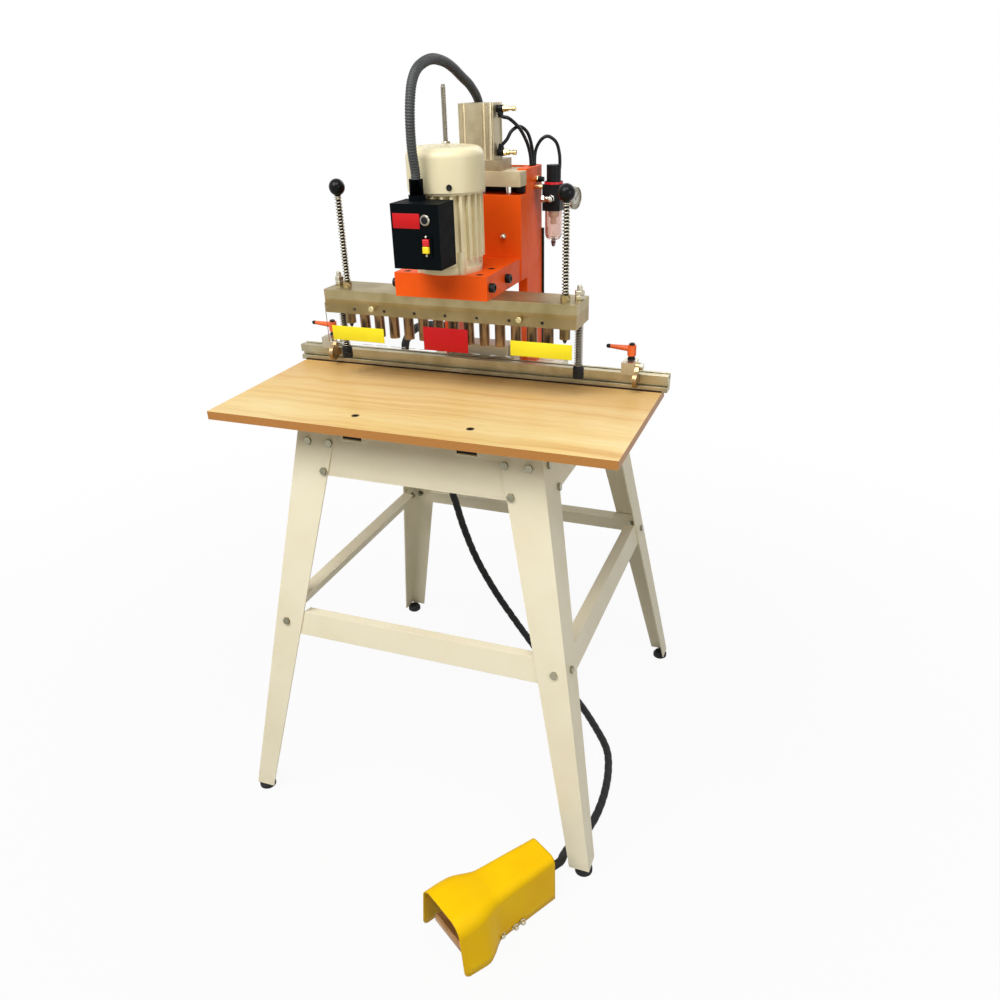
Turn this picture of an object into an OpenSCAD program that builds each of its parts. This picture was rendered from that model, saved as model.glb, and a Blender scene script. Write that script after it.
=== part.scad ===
// Line boring machine: a row of gear-driven chucks on a head that an air cylinder lowers
// to a wooden table, on a splayed sheet-steel stand with a foot pedal.
// Depths are counted from the spindle row, heights from the floor.

/* [Table] */
// Height of the table's top above the floor
table_h = 885; // [840:1:940]
// Width of the table, side to side
table_w = 794; // [700:1:800]
// Thickness of the table
table_t = 16; // [14:1:22]
// Front edge of the table, ahead of the spindle row
table_front = 270; // [250:1:320]
// Diameter of the two counterbores in the table
table_hole_d = 15; // [13:0.5:18]

/* [Fence] */
// Length of the fence rail
fence_l = 814; // [805:1:900]
// Height of the fence rail
fence_h = 33; // [31:1:40]
// Depth of the fence rail, front to back
fence_d = 27; // [26:1:30]
// Face of the fence behind the spindle row
fence_gap = 81; // [78:1:84]
// Mouth of the fence rail's slots
slot_w = 7; // [6.8:0.1:8]

/* [Flip stops] */
// Place of the left stop along the fence
left_stop_x = -330; // [-345:1:-315]
// Place of the right stop along the fence
right_stop_x = 330; // [315:1:345]
// Width of a stop's block
stop_w = 26; // [24:1:30]
// Height of a stop's block
stop_h = 23; // [22:1:28]
// Diameter of the disc that the work meets
disc_d = 31; // [26:1:32]
// Thickness of the disc
disc_t = 8; // [6:0.5:10]
// Length of the clamp lever
lever_l = 46; // [35:1:55]

/* [Stand] */
// Width of the stand at its top
stand_w = 493; // [460:1:520]
// Depth of the stand at its top
stand_d = 519; // [490:1:560]
// Middle of the stand behind the spindle row
stand_back = 55; // [45:1:65]
// Outward lean of the legs, degrees
leg_splay = 10.2; // [8:0.1:11]
// Width of a leg's face at the top
leg_top_w = 80; // [76:1:90]
// Width of a leg's face at the foot
leg_foot_w = 42; // [36:1:50]
// Thickness of the stand's sheet
sheet_t = 3; // [2.5:0.1:3.5]
// Height of the aprons under the table
apron_h = 83; // [76:1:95]
// Height of the lower stretchers
stretcher_h = 52; // [46:1:60]
// Underside of the lower stretchers above the floor
stretcher_z = 412; // [380:1:460]
// Width of the folded edge on aprons and stretchers
flange_w = 26; // [20:1:32]
// Diameter of the stand's bolts
bolt_d = 8; // [6:0.5:9]
// Diameter of a levelling foot
foot_d = 36; // [30:1:40]
// Height of a levelling foot
foot_h = 18; // [14:1:24]

/* [Base rails] */
// Width of a base rail
rail_w = 46; // [38:1:50]
// Height of a base rail
rail_h = 27; // [24:1:34]
// Wall of a base rail
rail_wall = 3; // [2:0.5:4]
// Distance between the middles of the base rails
rail_gap = 229; // [222:1:236]
// Thickness of the plate under the column
plate_t = 12; // [10:1:16]

/* [Column] */
// Clear distance between the two uprights
column_gap = 150; // [149:0.5:153]
// Width of an upright
column_w = 19; // [18:0.5:21]
// Depth of an upright
column_d = 93; // [90:1:98]
// Wall of an upright
column_wall = 4; // [3:0.5:5]
// Front of the uprights behind the spindle row
column_front = 166; // [163:1:169]
// Top of the uprights above the table
column_h = 385; // [383:1:392]

/* [Air cylinder] */
// Height of the bracket that carries the cylinder
bracket_h = 26; // [22:1:30]
// Underside of the bracket above the table
bracket_up = 356; // [353:1:358]
// Side of the cylinder's square profile
cyl_w = 66; // [62:1:70]
// Length of the cylinder's profile
cyl_l = 95; // [85:1:100]
// Bore of the cylinder
cyl_bore = 50; // [44:1:52]
// Diameter of the piston rod
piston_rod_d = 20; // [16:1:22]
// Thickness of the flange under the cylinder
cyl_flange_t = 19; // [16:1:22]
// Width of the flange under the cylinder
cyl_flange_w = 99; // [94:1:104]
// Diameter of the depth rod
depth_rod_d = 12; // [10:1:13]
// Length of the depth rod above the carriage
depth_rod_l = 187; // [170:1:200]

/* [Head] */
// Travel of the head, as its stop nuts set it
stroke = 34; // [30:1:34]
// Underside of the gear case above the table
work_gap = 140; // [138:1:142]
// Length of the gear case
case_l = 513; // [508:1:530]
// Height of the gear case with its lid
case_h = 44; // [43:1:48]
// Height of the lid
lid_h = 18; // [17:1:20]
// Front of the gear case ahead of the spindle row
case_front = 37; // [34:1:40]
// Back of the gear case behind the spindle row
case_back = 44; // [38:1:48]
// Width of the motor saddle
saddle_w = 184; // [180:1:185]
// Height of the motor saddle
saddle_h = 43; // [40:1:46]
// Front of the motor saddle ahead of the spindle row
saddle_front = 51; // [48:1:54]
// Height of the carriage
carriage_h = 157; // [154:1:159]
// Depth of the carriage
carriage_d = 68; // [60:1:70]
// Front of the carriage behind the spindle row
carriage_front = 132; // [128:1:134]
// Thickness of the clear guard
guard_t = 3; // [2:0.5:4]
// Height of the clear guard
guard_h = 77; // [65:1:82]
// Part of the guard below the gear case
guard_drop = 58; // [45:1:60]

/* [Spindles] */
// Distance between neighbouring spindles
pitch = 32; // [31.5:0.1:32.2]
// Diameter of a spindle's shaft
shaft_d = 12; // [10:0.5:13]
// Diameter of a chuck
chuck_d = 20; // [17:0.5:24]
// Length of a chuck
chuck_l = 50; // [46:1:54]
// Bore of a chuck
chuck_bore = 10; // [8:0.5:12]
// Depth of a chuck's bore
chuck_depth = 25; // [20:1:27]
// Outer diameter of a spindle bush
bush_d = 22; // [18:0.5:24]
// Length of a spindle bush
bush_l = 10; // [8:0.5:11]
// Height of a gear
gear_h = 13; // [10:0.5:14]

/* [Motor] */
// Diameter over the motor's fins
motor_d = 130; // [126:1:134]
// Height of the finned body above its flange
motor_h = 136; // [130:1:140]
// Diameter of the motor's flange
flange_d = 118; // [114:1:124]
// Thickness of the motor's flange
motor_flange_t = 12; // [10:1:14]
// Diameter of the fan cover
cover_d = 139; // [136:1:142]
// Height of the fan cover
cover_h = 70; // [66:1:76]
// Wall of the fan cover
cover_wall = 2.5; // [2:0.5:3]

/* [Switch box] */
// Width of the switch box
box_w = 89; // [84:1:94]
// Depth of the switch box
box_d = 64; // [58:1:70]
// Height of the switch box
box_h = 105; // [98:1:108]
// Underside of the switch box above the saddle
box_up = 25; // [23:1:28]
// Outer diameter of the ribbed conduit
conduit_d = 20; // [18:0.5:21]

/* [Pins and hold-downs] */
// Diameter of an index pin
pin_d = 8; // [7:0.5:9]
// Middle of the ball knob above the gear case
ball_up = 180; // [172:1:190]
// Diameter of the ball knob
ball_d = 30; // [26:1:32]
// Wire of the index springs
pin_wire = 1.6; // [1.4:0.1:2]
// Distance of a hold-down from the centre spindle
hold_x = 248; // [247:0.5:249]
// Distance of a hold-down behind the spindle row
hold_back = 11; // [9:1:14]
// Diameter of a hold-down's rod
hold_d = 10; // [8:0.5:10.5]
// Diameter of a hold-down's rubber foot
pad_d = 21; // [18:0.5:23]
// Height of a hold-down's rubber foot
pad_h = 23; // [18:1:26]
// Underside of the hold-downs above the table
pad_gap = 37; // [36:1:42]
// Wire of the hold-down springs
hold_wire = 2; // [1.6:0.1:2.2]

/* [Filter regulator] */
// Side of the regulator's body
reg_w = 36; // [32:1:40]
// Height of the regulator's body
reg_h = 47; // [44:1:50]
// Underside of the regulator's body above the table
reg_up = 305; // [302:1:308]
// Diameter of the filter bowl
bowl_d = 34; // [30:1:36]
// Length of the filter bowl
bowl_l = 52; // [46:1:58]
// Diameter of the regulator's knob
knob_d = 28; // [24:1:30]
// Height of the regulator's knob
knob_h = 29; // [26:1:32]
// Diameter of the pressure gauge
gauge_d = 42; // [38:1:46]
// Outer diameter of the air lines
air_line_d = 6.5; // [5:0.5:7]

/* [Foot pedal] */
// Pedal's back edge, to the right of the middle
pedal_x = 313; // [310:1:316]
// Pedal's back edge, ahead of the spindle row
pedal_y = 401; // [399:1:403]
// Turn of the pedal, degrees
pedal_turn = 33; // [31:1:35]
// Length of the pedal's cover
pedal_l = 239; // [230:1:250]
// Width of the cover's back end
pedal_w = 76; // [72:1:82]
// Width of the hood at the mouth
hood_w = 144; // [138:1:150]
// Height of the cover's body
pedal_h = 114; // [108:1:118]
// Height of the hood at the mouth
hood_h = 124; // [120:1:130]
// Sheet of the cover
pedal_sheet = 2; // [1.5:0.1:2.5]
// Outer diameter of the wrapped foot hose
hose_d = 18; // [16:0.5:20]

/* [Hidden] */
$fn = 64;
spindle_count = 13;
function spindle_name(i) = str("spindle_", i < 10 ? "0" : "", i);

// Colours of the finishes
cream = "#e3d6b8";
orange = "#e8641e";
yellow = "#eec81a";
wood = "#dcb36a";
aluminium = "#b9b3a4";
steel = "#8f8a80";
bronze = "#8a6a4a";
black = "#1c1c1e";
zinc = "#cfcabd";
red = "#c8202c";
clear = "#d8e2e466";

// Running clearance on a radius, and the gap between sliding or resting faces
run = 0.05;
slip = 0.3;

// Heights
stand_h = table_h - table_t - rail_h;
rail_top = table_h - table_t;
case_z = table_h + work_gap;
lid_z = case_z + case_h - lid_h;
case_top = case_z + case_h;
saddle_top = case_top + saddle_h;
carriage_top = case_top + carriage_h;
bracket_z = table_h + bracket_up;
bracket_top = bracket_z + bracket_h;
cyl_z = bracket_top + cyl_flange_t;
cyl_top = cyl_z + cyl_l;
column_top = table_h + column_h;
fence_top = table_h + fence_h;
motor_z = saddle_top + motor_flange_t;
motor_top = motor_z + motor_h;
cover_lap = 10;
cover_z = motor_top - cover_lap;
chuck_z = case_z - slip - chuck_l;
pad_z = table_h + pad_gap;
ball_z = case_top + ball_up;

// Depths
fence_back = fence_gap + fence_d;
column_back = column_front + column_d;
cyl_y = carriage_front + 41;
stop_y = fence_gap + fence_d / 2 + 4;

// Stand
leg_len = (stand_h - foot_h) / cos(leg_splay);
leg_run = leg_len * sin(leg_splay);
function face_half(n) = (n % 2 == 0 ? stand_w : stand_d) / 2;
function face_reach(n) = (n % 2 == 0 ? stand_d : stand_w) / 2;
bolt_inset = 26;
bolt_step = 46;
apron_bolt_drop = 19;
apron_low_drop = apron_h - 9;
stretcher_drop = stand_h - stretcher_z - stretcher_h / 2;
bolt_spots = [
    [bolt_inset, apron_bolt_drop],
    [bolt_inset + bolt_step, apron_bolt_drop],
    [bolt_inset + bolt_step - 4, apron_low_drop],
    [bolt_inset, stretcher_drop]];
head_t = bolt_d * 0.65;
web_inset = 12;
flange_inset = 62;
foot_inset = 15;
foot_top = foot_h - sheet_t * sin(leg_splay) - run;

// The footprint's middle is the origin, from the pedal's toe to the back legs
stand_reach = stand_back + stand_d / 2 + leg_run;
pedal_reach = -pedal_y - pedal_l * cos(pedal_turn) - hood_w / 2 * sin(pedal_turn);
row_y = -(stand_reach + pedal_reach) / 2;
module placed() translate([0, row_y, 0]) children();

// Plain shapes
module block(x, y, z) translate([x[0], y[0], z[0]]) cube([x[1] - x[0], y[1] - y[0], z[1] - z[0]]);
module post(x, y, z, d) translate([x, y, z[0]]) cylinder(d = d, h = z[1] - z[0]);
module hex_post(x, y, z, across) translate([x, y, z[0]])
    cylinder(d = across / cos(30), h = z[1] - z[0], $fn = 6);
module along_x(x, y, z, d) translate([x[0], y, z]) rotate([0, 90, 0]) cylinder(d = d, h = x[1] - x[0]);
module along_y(x, y, z, d) translate([x, y[0], z]) rotate([-90, 0, 0]) cylinder(d = d, h = y[1] - y[0]);
module both_sides() for (s = [0, 1]) mirror([s, 0, 0]) children();

// Swept tubes
function unit(v) = v / norm(v);
function square_to(v, t) = unit(v - t * (v * t));
function tangents(p) = [for (i = [0:len(p) - 1]) unit(p[min(i + 1, len(p) - 1)] - p[max(i - 1, 0)])];
function side_ways(t, first) = [
    for (i = 0, u = square_to(first, t[0]); i < len(t);
        i = i + 1, u = square_to(u, t[min(i, len(t) - 1)])) u];
function ring_points(p, r, n, first) =
    let (t = tangents(p), u = side_ways(t, first))
    [for (i = [0:len(p) - 1], k = [0:n - 1])
        p[i] + (is_list(r) ? r[i] : r) * (cos(360 * k / n) * u[i] + sin(360 * k / n) * cross(t[i], u[i]))];
function tube_walls(m, n, at, flip) = [
    for (i = [0:m - 2], k = [0:n - 1], half = [0, 1])
        let (
            a = at + i * n + k,
            b = at + i * n + (k + 1) % n,
            f = half == 0 ? [a, a + n, b + n] : [a, b + n, b])
        flip ? [f[2], f[1], f[0]] : f];
function end_fans(m, n) = [
    for (k = [1:n - 2], far = [0, 1])
        let (at = far * (m - 1) * n) far == 0 ? [at, at + k, at + k + 1] : [at, at + k + 1, at + k]];
module tube(p, r, n, first) {
    points = ring_points(p, r, n, first);
    polyhedron(points, concat(tube_walls(len(p), n, 0, false), end_fans(len(p), n)), convexity = 10);
}
module bored_tube(p, r, bore_p, bore_r, n, first) {
    outside = ring_points(p, r, n, first);
    inside = ring_points(bore_p, bore_r, n, first);
    from = len(outside);
    last_out = (len(p) - 1) * n;
    last_in = from + (len(bore_p) - 1) * n;
    rims = [
        for (k = [0:n - 1], far = [0, 1], half = [0, 1])
            let (
                j = (k + 1) % n,
                o = far * last_out,
                q = far == 0 ? from : last_in,
                f = half == 0 ? [o + k, o + j, q + j] : [o + k, q + j, q + k])
            far == 0 ? f : [f[2], f[1], f[0]]];
    walls = concat(tube_walls(len(p), n, 0, false), tube_walls(len(bore_p), n, from, true), rims);
    polyhedron(concat(outside, inside), walls, convexity = 10);
}
function blend_point(a, b, c, d, t) =
    0.5 * (2 * b + (c - a) * t + (2 * a - 5 * b + 4 * c - d) * t * t + (3 * b - a - 3 * c + d) * t * t * t);
function smooth_path(p, steps) = concat(
    [for (i = [0:len(p) - 2], k = [0:steps - 1])
        blend_point(p[max(i - 1, 0)], p[i], p[i + 1], p[min(i + 2, len(p) - 1)], k / steps)],
    [p[len(p) - 1]]);
function lengths(p) = [
    for (i = 0, s = 0; i < len(p); s = s + norm(p[min(i + 1, len(p) - 1)] - p[i]), i = i + 1) s];
function even_path(p, count) =
    let (s = lengths(p), last = s[len(s) - 1])
    [for (j = [0:count - 1])
        [for (axis = [0:2]) lookup(last * j / (count - 1), [for (i = [0:len(p) - 1]) [s[i], p[i][axis]]])]];

// Springs, each one tube whose ends stand square on what they meet
rings_per_curl = 8;
spring_sides = 6;
function spring_path(z0, z1, r, wire, curls) =
    let (low = z0 + wire, high = z1 - wire, n = curls * rings_per_curl)
    concat([[r, 0, z0]],
        [for (i = [0:n])
            let (a = 360 * i / rings_per_curl)
            [r * cos(a), r * sin(a), low + (high - low) * i / n]],
        [[r, 0, z1]]);
function least_gap(p, wire) = min([
    for (i = [0:len(p) - 1], j = [i + rings_per_curl - 2:1:min(len(p) - 1, i + rings_per_curl + 2)])
        norm(p[i] - p[j])]) - wire;
pin_curls = 24;
hold_curls = 12;
boss_h = 9;
pin_spring_z = case_top + boss_h + slip;
pin_spring_top = ball_z - ball_d / 2 - slip;
pin_spring_r = pin_d / 2 + pin_wire / 2 + 0.6;
hold_spring_z = pad_z + pad_h + slip;
hold_spring_r = hold_d / 2 + hold_wire / 2 + 0.6;
pin_coil = spring_path(pin_spring_z, pin_spring_top, pin_spring_r, pin_wire, pin_curls);
hold_coil = spring_path(hold_spring_z, case_z - slip, hold_spring_r, hold_wire, hold_curls);
echo("index spring, least gap between curls", least_gap(pin_coil, pin_wire));
echo("hold-down spring, least gap between curls", least_gap(hold_coil, hold_wire));

// Stand: each face is drawn flat, then leans outwards about the stand's top
module on_face(n) translate([0, stand_back, stand_h]) rotate([0, 0, 90 * n])
    translate([0, -face_reach(n), 0]) rotate([-leg_splay, 0, 0]) children();
module sheet(y, outline) translate([0, y + sheet_t, 0]) rotate([90, 0, 0])
    linear_extrude(sheet_t) polygon(outline);
function slope(drop) = drop / cos(leg_splay);
function face_edge(n, drop) = face_half(n) + drop * tan(leg_splay);
module bolt_holes(n, spots, d) for (b = spots) translate([face_edge(n, b[1]) - b[0], 0, -slope(b[1])])
    rotate([-90, 0, 0]) translate([0, 0, -sheet_t]) cylinder(d = d, h = sheet_t * 4);
module leg_face(n) {
    top = face_half(n);
    foot = top + leg_run;
    difference() {
        sheet(0, [[top - leg_top_w, 0], [top, 0], [foot, -leg_len], [foot - leg_foot_w, -leg_len]]);
        bolt_holes(n, bolt_spots, bolt_d);
    }
}
module stand_legs() color(cream) for (k = [0:3]) union() {
    on_face(k) leg_face(k);
    on_face((k + 1) % 4) mirror([1, 0, 0]) leg_face((k + 1) % 4);
}
module cross_member(n, drop, h, level) {
    top = face_edge(n, drop) - web_inset;
    low = face_edge(n, drop + h) - web_inset;
    z0 = -slope(drop);
    z1 = -slope(drop + h);
    difference() {
        sheet(sheet_t, [[-top, z0], [top, z0], [low, z1], [-low, z1]]);
        bolt_holes(n, bolt_spots, bolt_d);
        mirror([1, 0, 0]) bolt_holes(n, bolt_spots, bolt_d);
    }
    reach = face_edge(n, drop) - flange_inset;
    translate([0, 0, -slope(drop)]) rotate([level ? leg_splay : 0, 0, 0])
        block([-reach, reach], [sheet_t + 1, sheet_t + flange_w], [-sheet_t, 0]);
}
module stand_rails() color(cream) for (n = [0:3]) {
    on_face(n) cross_member(n, 0, apron_h, true);
    on_face(n) cross_member(n, stand_h - stretcher_z - stretcher_h, stretcher_h, false);
}
foot_x = stand_w / 2 + leg_run - foot_inset;
foot_y = stand_d / 2 + leg_run - foot_inset;
module foot_spots() for (x = [-1, 1], y = [-1, 1])
    translate([x * foot_x, stand_back + y * foot_y, 0]) children();
module levelling_feet() color(black) foot_spots() rotate_extrude() polygon([
    [0, 0], [foot_d / 2 - 3, 0], [foot_d / 2, 3], [foot_d / 2, foot_h * 0.6],
    [foot_d / 2 - 5, foot_top], [0, foot_top]]);
module hex_bolt() {
    rotate([90, 0, 0]) cylinder(d = bolt_d * 1.9, h = head_t, $fn = 6);
    rotate([-90, 0, 0]) cylinder(d = bolt_d, h = sheet_t * 2 + head_t * 2);
    translate([0, sheet_t * 2, 0]) rotate([-90, 0, 0]) cylinder(d = bolt_d * 1.9, h = head_t, $fn = 6);
}
table_bolt_y = -table_front + 62;
module stand_bolts() color(zinc) {
    for (n = [0:3]) on_face(n) both_sides() for (b = bolt_spots)
        translate([face_edge(n, b[1]) - b[0], 0, -slope(b[1])]) hex_bolt();
    seat = table_h - table_t * 0.6;
    under = rail_top - rail_wall;
    for (s = [-1, 1]) translate([s * rail_gap / 2, table_bolt_y, 0]) union() {
        post(0, 0, [seat, table_h - 5], table_hole_d - 2);
        post(0, 0, [under - 6, seat], bolt_d);
        hex_post(0, 0, [under - 6, under], bolt_d * 1.5);
    }
}

// Base rails with the plate and the cross box that carry the column
plate_half = rail_gap / 2 + rail_w / 2 + 12;
plate_front = fence_back + 6;
plate_back = column_back + 14;
cross_half = 67;
cross_h = 60;
module base_frame() color(cream) {
    rail_front = stand_back - stand_d / 2 - 26;
    rail_back = stand_back + stand_d / 2 + 6;
    for (s = [-1, 1]) difference() {
        translate([s * rail_gap / 2, 0, stand_h])
            block([-rail_w / 2, rail_w / 2], [rail_front, rail_back], [0, rail_h]);
        translate([s * rail_gap / 2, 0, stand_h + rail_wall])
            block([-rail_w / 2 + rail_wall, rail_w / 2 - rail_wall], [rail_front - 1, rail_back + 1],
                [0, rail_h - rail_wall * 2]);
        post(s * rail_gap / 2, table_bolt_y, [rail_top - rail_wall - 1, rail_top + 1], bolt_d);
    }
    block([-plate_half, plate_half], [plate_front, plate_back], [rail_top, rail_top + plate_t]);
    plate_top = rail_top + plate_t;
    box_y = [plate_front + 2, column_front - 8];
    difference() {
        block([-cross_half, cross_half], box_y, [plate_top, plate_top + cross_h]);
        block([-cross_half - 1, cross_half + 1], [box_y[0] + rail_wall, box_y[1] - rail_wall],
            [plate_top + rail_wall, plate_top + cross_h - rail_wall]);
    }
}
module table_top() color(wood) difference() {
    block([-table_w / 2, table_w / 2], [-table_front, fence_back], [rail_top, table_h]);
    for (s = [-1, 1]) {
        post(s * rail_gap / 2, table_bolt_y, [rail_top - 1, table_h], bolt_d);
        post(s * rail_gap / 2, table_bolt_y, [table_h - table_t * 0.6, table_h + 1], table_hole_d);
    }
}

// Fence rail with a slot in its face and one in its top, where the stops are clamped
slot_depth = 4;
slot_room = slot_w + 6;
slot_room_d = 6;
module fence_rail() color(aluminium) difference() {
    block([-fence_l / 2, fence_l / 2], [fence_gap, fence_back], [table_h, fence_top]);
    whole = [-fence_l, fence_l];
    face_z = table_h + fence_h * 0.42;
    in_face = fence_gap + slot_depth;
    in_top = fence_top - slot_depth;
    block(whole, [fence_gap - 1, in_face + 1], [face_z - slot_w / 2, face_z + slot_w / 2]);
    block(whole, [in_face, in_face + slot_room_d - 2], [face_z - slot_room / 2, face_z + slot_room / 2]);
    block(whole, [stop_y - slot_w / 2, stop_y + slot_w / 2], [in_top - 1, fence_top + 1]);
    block(whole, [stop_y - slot_room / 2, stop_y + slot_room / 2], [in_top - slot_room_d, in_top]);
}

// Flip stops: a block clamped in the rail's top slot, a disc on a pivot, a clamp lever
stop_top = fence_top + slip + stop_h;
pivot_y = fence_gap - 3;
pivot_z = fence_top + stop_h * 0.7;
pivot_d = 6;
disc_y = fence_gap - 2 - disc_d / 2;
disc_z = fence_top - 6;
paddle_x = stop_w / 2 + slip;
stud_d = 6;
neck_h = 7;
hub_d = 17;
hub_h = 20;
module stop_block() color(zinc) {
    block([-stop_w / 2, stop_w / 2], [fence_gap - 13, fence_back - 1], [fence_top + slip, stop_top]);
    post(0, stop_y, [fence_top - slot_depth - slip, stop_top + neck_h + hub_h - 4], stud_d);
    post(0, stop_y, [stop_top, stop_top + neck_h - slip], hub_d - 5);
    translate([0, stop_y, fence_top - slot_depth - slip - 3])
        block([-9, 9], [-slot_room / 2 + slip * 2, slot_room / 2 - slip * 2], [0, 3]);
    along_x([stop_w / 2, paddle_x + disc_t + slip + 6], pivot_y, pivot_z, pivot_d);
    along_x([paddle_x + disc_t + slip, paddle_x + disc_t + slip + 7], pivot_y, pivot_z, 14);
}
module stop_paddle() color(bronze) {
    lean = atan2(pivot_y - disc_y, pivot_z - disc_z);
    difference() {
        union() {
            along_x([paddle_x, paddle_x + disc_t], disc_y, disc_z, disc_d);
            along_x([paddle_x, paddle_x + disc_t], pivot_y, pivot_z, 15);
            translate([paddle_x, disc_y, disc_z]) rotate([-lean, 0, 0])
                block([0, disc_t], [-6, 6], [0, norm([pivot_y - disc_y, pivot_z - disc_z])]);
        }
        along_x([paddle_x - 1, paddle_x + disc_t + 1], pivot_y, pivot_z, pivot_d + run * 2);
    }
}
module stop_lever() color(orange) difference() {
    translate([0, stop_y, stop_top + neck_h]) union() {
        cylinder(d = hub_d, h = hub_h);
        hull() {
            translate([0, 0, hub_h - 7]) rotate([0, -90, 0]) cylinder(d = 12, h = 4, $fn = 32);
            translate([-lever_l, 0, hub_h - 5]) sphere(d = 7, $fn = 32);
        }
    }
    post(0, stop_y, [stop_top, stop_top + neck_h + hub_h - 3], stud_d + run * 2);
}

// Column: two hollow uprights, closed at the top, joined by a plate with a small ledge behind it
ledge_x = -30;
ledge_z = column_top - 44;
ledge_l = 36;
back_t = 6;
web_y = column_front + 64;
line_hole_y = column_front + 66;
column_side = column_gap / 2 + column_w;
module column() color(orange) {
    inner = column_gap / 2;
    foot = rail_top + plate_t;
    difference() {
        union() {
            both_sides() block([inner, column_side], [column_front, column_back], [foot, column_top]);
            block([-inner, inner], [web_y, web_y + back_t], [case_top + 20, column_top]);
            block([ledge_x - 22, ledge_x + 22], [web_y + back_t, web_y + back_t + ledge_l],
                [ledge_z - 5, ledge_z]);
        }
        both_sides() block([inner + column_wall, column_side - column_wall],
            [column_front + column_wall, column_back - column_wall], [foot - 1, column_top - column_wall]);
        block([inner + column_wall, column_side - column_wall], [line_hole_y - 17, line_hole_y + 17],
            [column_top - column_wall - 1, column_top + 1]);
    }
}

// Air cylinder on its bracket, between the uprights
depth_rod_x = -66;
guide_rod_x = 61.5;
rod_y = cyl_y - 18;
bracket_front = carriage_front - 2;
rod_room = 1;
module cylinder_bracket() color(aluminium) difference() {
    union() {
        block([-column_side, column_side], [bracket_front, column_front], [bracket_z, bracket_top]);
        block([-column_gap / 2, column_gap / 2], [bracket_front, web_y], [bracket_z, bracket_top]);
    }
    post(0, cyl_y, [bracket_z - 1, bracket_top + 1], piston_rod_d + rod_room * 2);
    for (x = [depth_rod_x, guide_rod_x])
        post(x, rod_y, [bracket_z - 1, bracket_top + 1], depth_rod_d + rod_room);
}
module cylinder_section() difference() {
    translate([-cyl_w / 2, -cyl_w / 2]) square(cyl_w);
    for (a = [0:90:270]) rotate(a) {
        for (s = [-1, 1]) translate([cyl_w / 2, s * cyl_w * 0.3]) circle(d = 6);
        translate([cyl_w / 2, cyl_w / 2]) circle(d = 9);
    }
}
cyl_end = 8;
module cylinder_barrel() color(aluminium) {
    flange_front = bracket_front + 5;
    difference() {
        translate([0, cyl_y, cyl_z]) linear_extrude(cyl_l) cylinder_section();
        post(0, cyl_y, [cyl_z + cyl_end, cyl_top - cyl_end], cyl_bore);
        post(0, cyl_y, [cyl_z - 1, cyl_z + cyl_end + 1], piston_rod_d + run * 2);
    }
    difference() {
        block([-cyl_flange_w / 2, cyl_flange_w / 2], [flange_front, cyl_y + cyl_w / 2],
            [bracket_top, cyl_z]);
        post(0, cyl_y, [bracket_top - 1, cyl_z + 1], piston_rod_d + rod_room * 2);
    }
}
piston_h = 12;
stop_nut_h = 8;
module lift_rods() color(steel) {
    piston_top = cyl_top - cyl_end - 1;
    union() {
        post(0, cyl_y, [carriage_top, piston_top], piston_rod_d);
        post(0, cyl_y, [piston_top - piston_h, piston_top], cyl_bore - run * 2);
    }
    union() {
        post(depth_rod_x, rod_y, [carriage_top, carriage_top + depth_rod_l], depth_rod_d);
        nut_z = bracket_top + stroke;
        hex_post(depth_rod_x, rod_y, [nut_z, nut_z + stop_nut_h * 2], depth_rod_d * 1.5);
    }
    post(guide_rod_x, rod_y, [carriage_top, bracket_top - 1], depth_rod_d);
}

// Brass flow controls, black elbows and the glands of the hoses
port_y = cyl_y + 2;
high_port_z = cyl_top - 10;
low_port_z = cyl_z + 11;
gland_x = -column_side;
gland_y = column_front + 24;
gland_z = case_z - 73;
gland_l = 8;
module flow_control(z) {
    along_x([cyl_w / 2, cyl_w / 2 + 14], port_y, z, 13);
    along_x([cyl_w / 2 + 14, cyl_w / 2 + 24], port_y, z, 11);
    along_x([cyl_w / 2 + 24, cyl_w / 2 + 31], port_y, z, 6);
    along_x([cyl_w / 2 + 31, cyl_w / 2 + 38], port_y, z, 9);
}
reg_x = column_side + 18 + reg_w / 2;
reg_y = column_front + 59;
reg_z = table_h + reg_up;
reg_top = reg_z + reg_h;
port_z = reg_z + reg_h / 2;
rear_port_y = reg_y + reg_w / 2;
elbow_z = reg_top + 9;
module fittings() color(black) {
    flow_control(high_port_z);
    flow_control(low_port_z);
    along_y(reg_x, [rear_port_y, rear_port_y + 13], port_z, 11);
    along_y(reg_x - 6, [reg_y - reg_w / 2 - 18, reg_y - reg_w / 2], port_z, 9);
    union() {
        along_x([column_side, column_side + 6], reg_y, elbow_z, 13);
        along_x([column_side, column_side + 16], reg_y, elbow_z, 9);
    }
    along_x([gland_x - gland_l, gland_x], gland_y, gland_z, hose_d + 8);
    translate([ledge_x, conduit_end_y, ledge_z]) difference() {
        post(0, 0, [0, 22], conduit_d + 6);
        post(0, 0, [socket_z - ledge_z, 23], conduit_d + slip * 2);
    }
}

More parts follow.
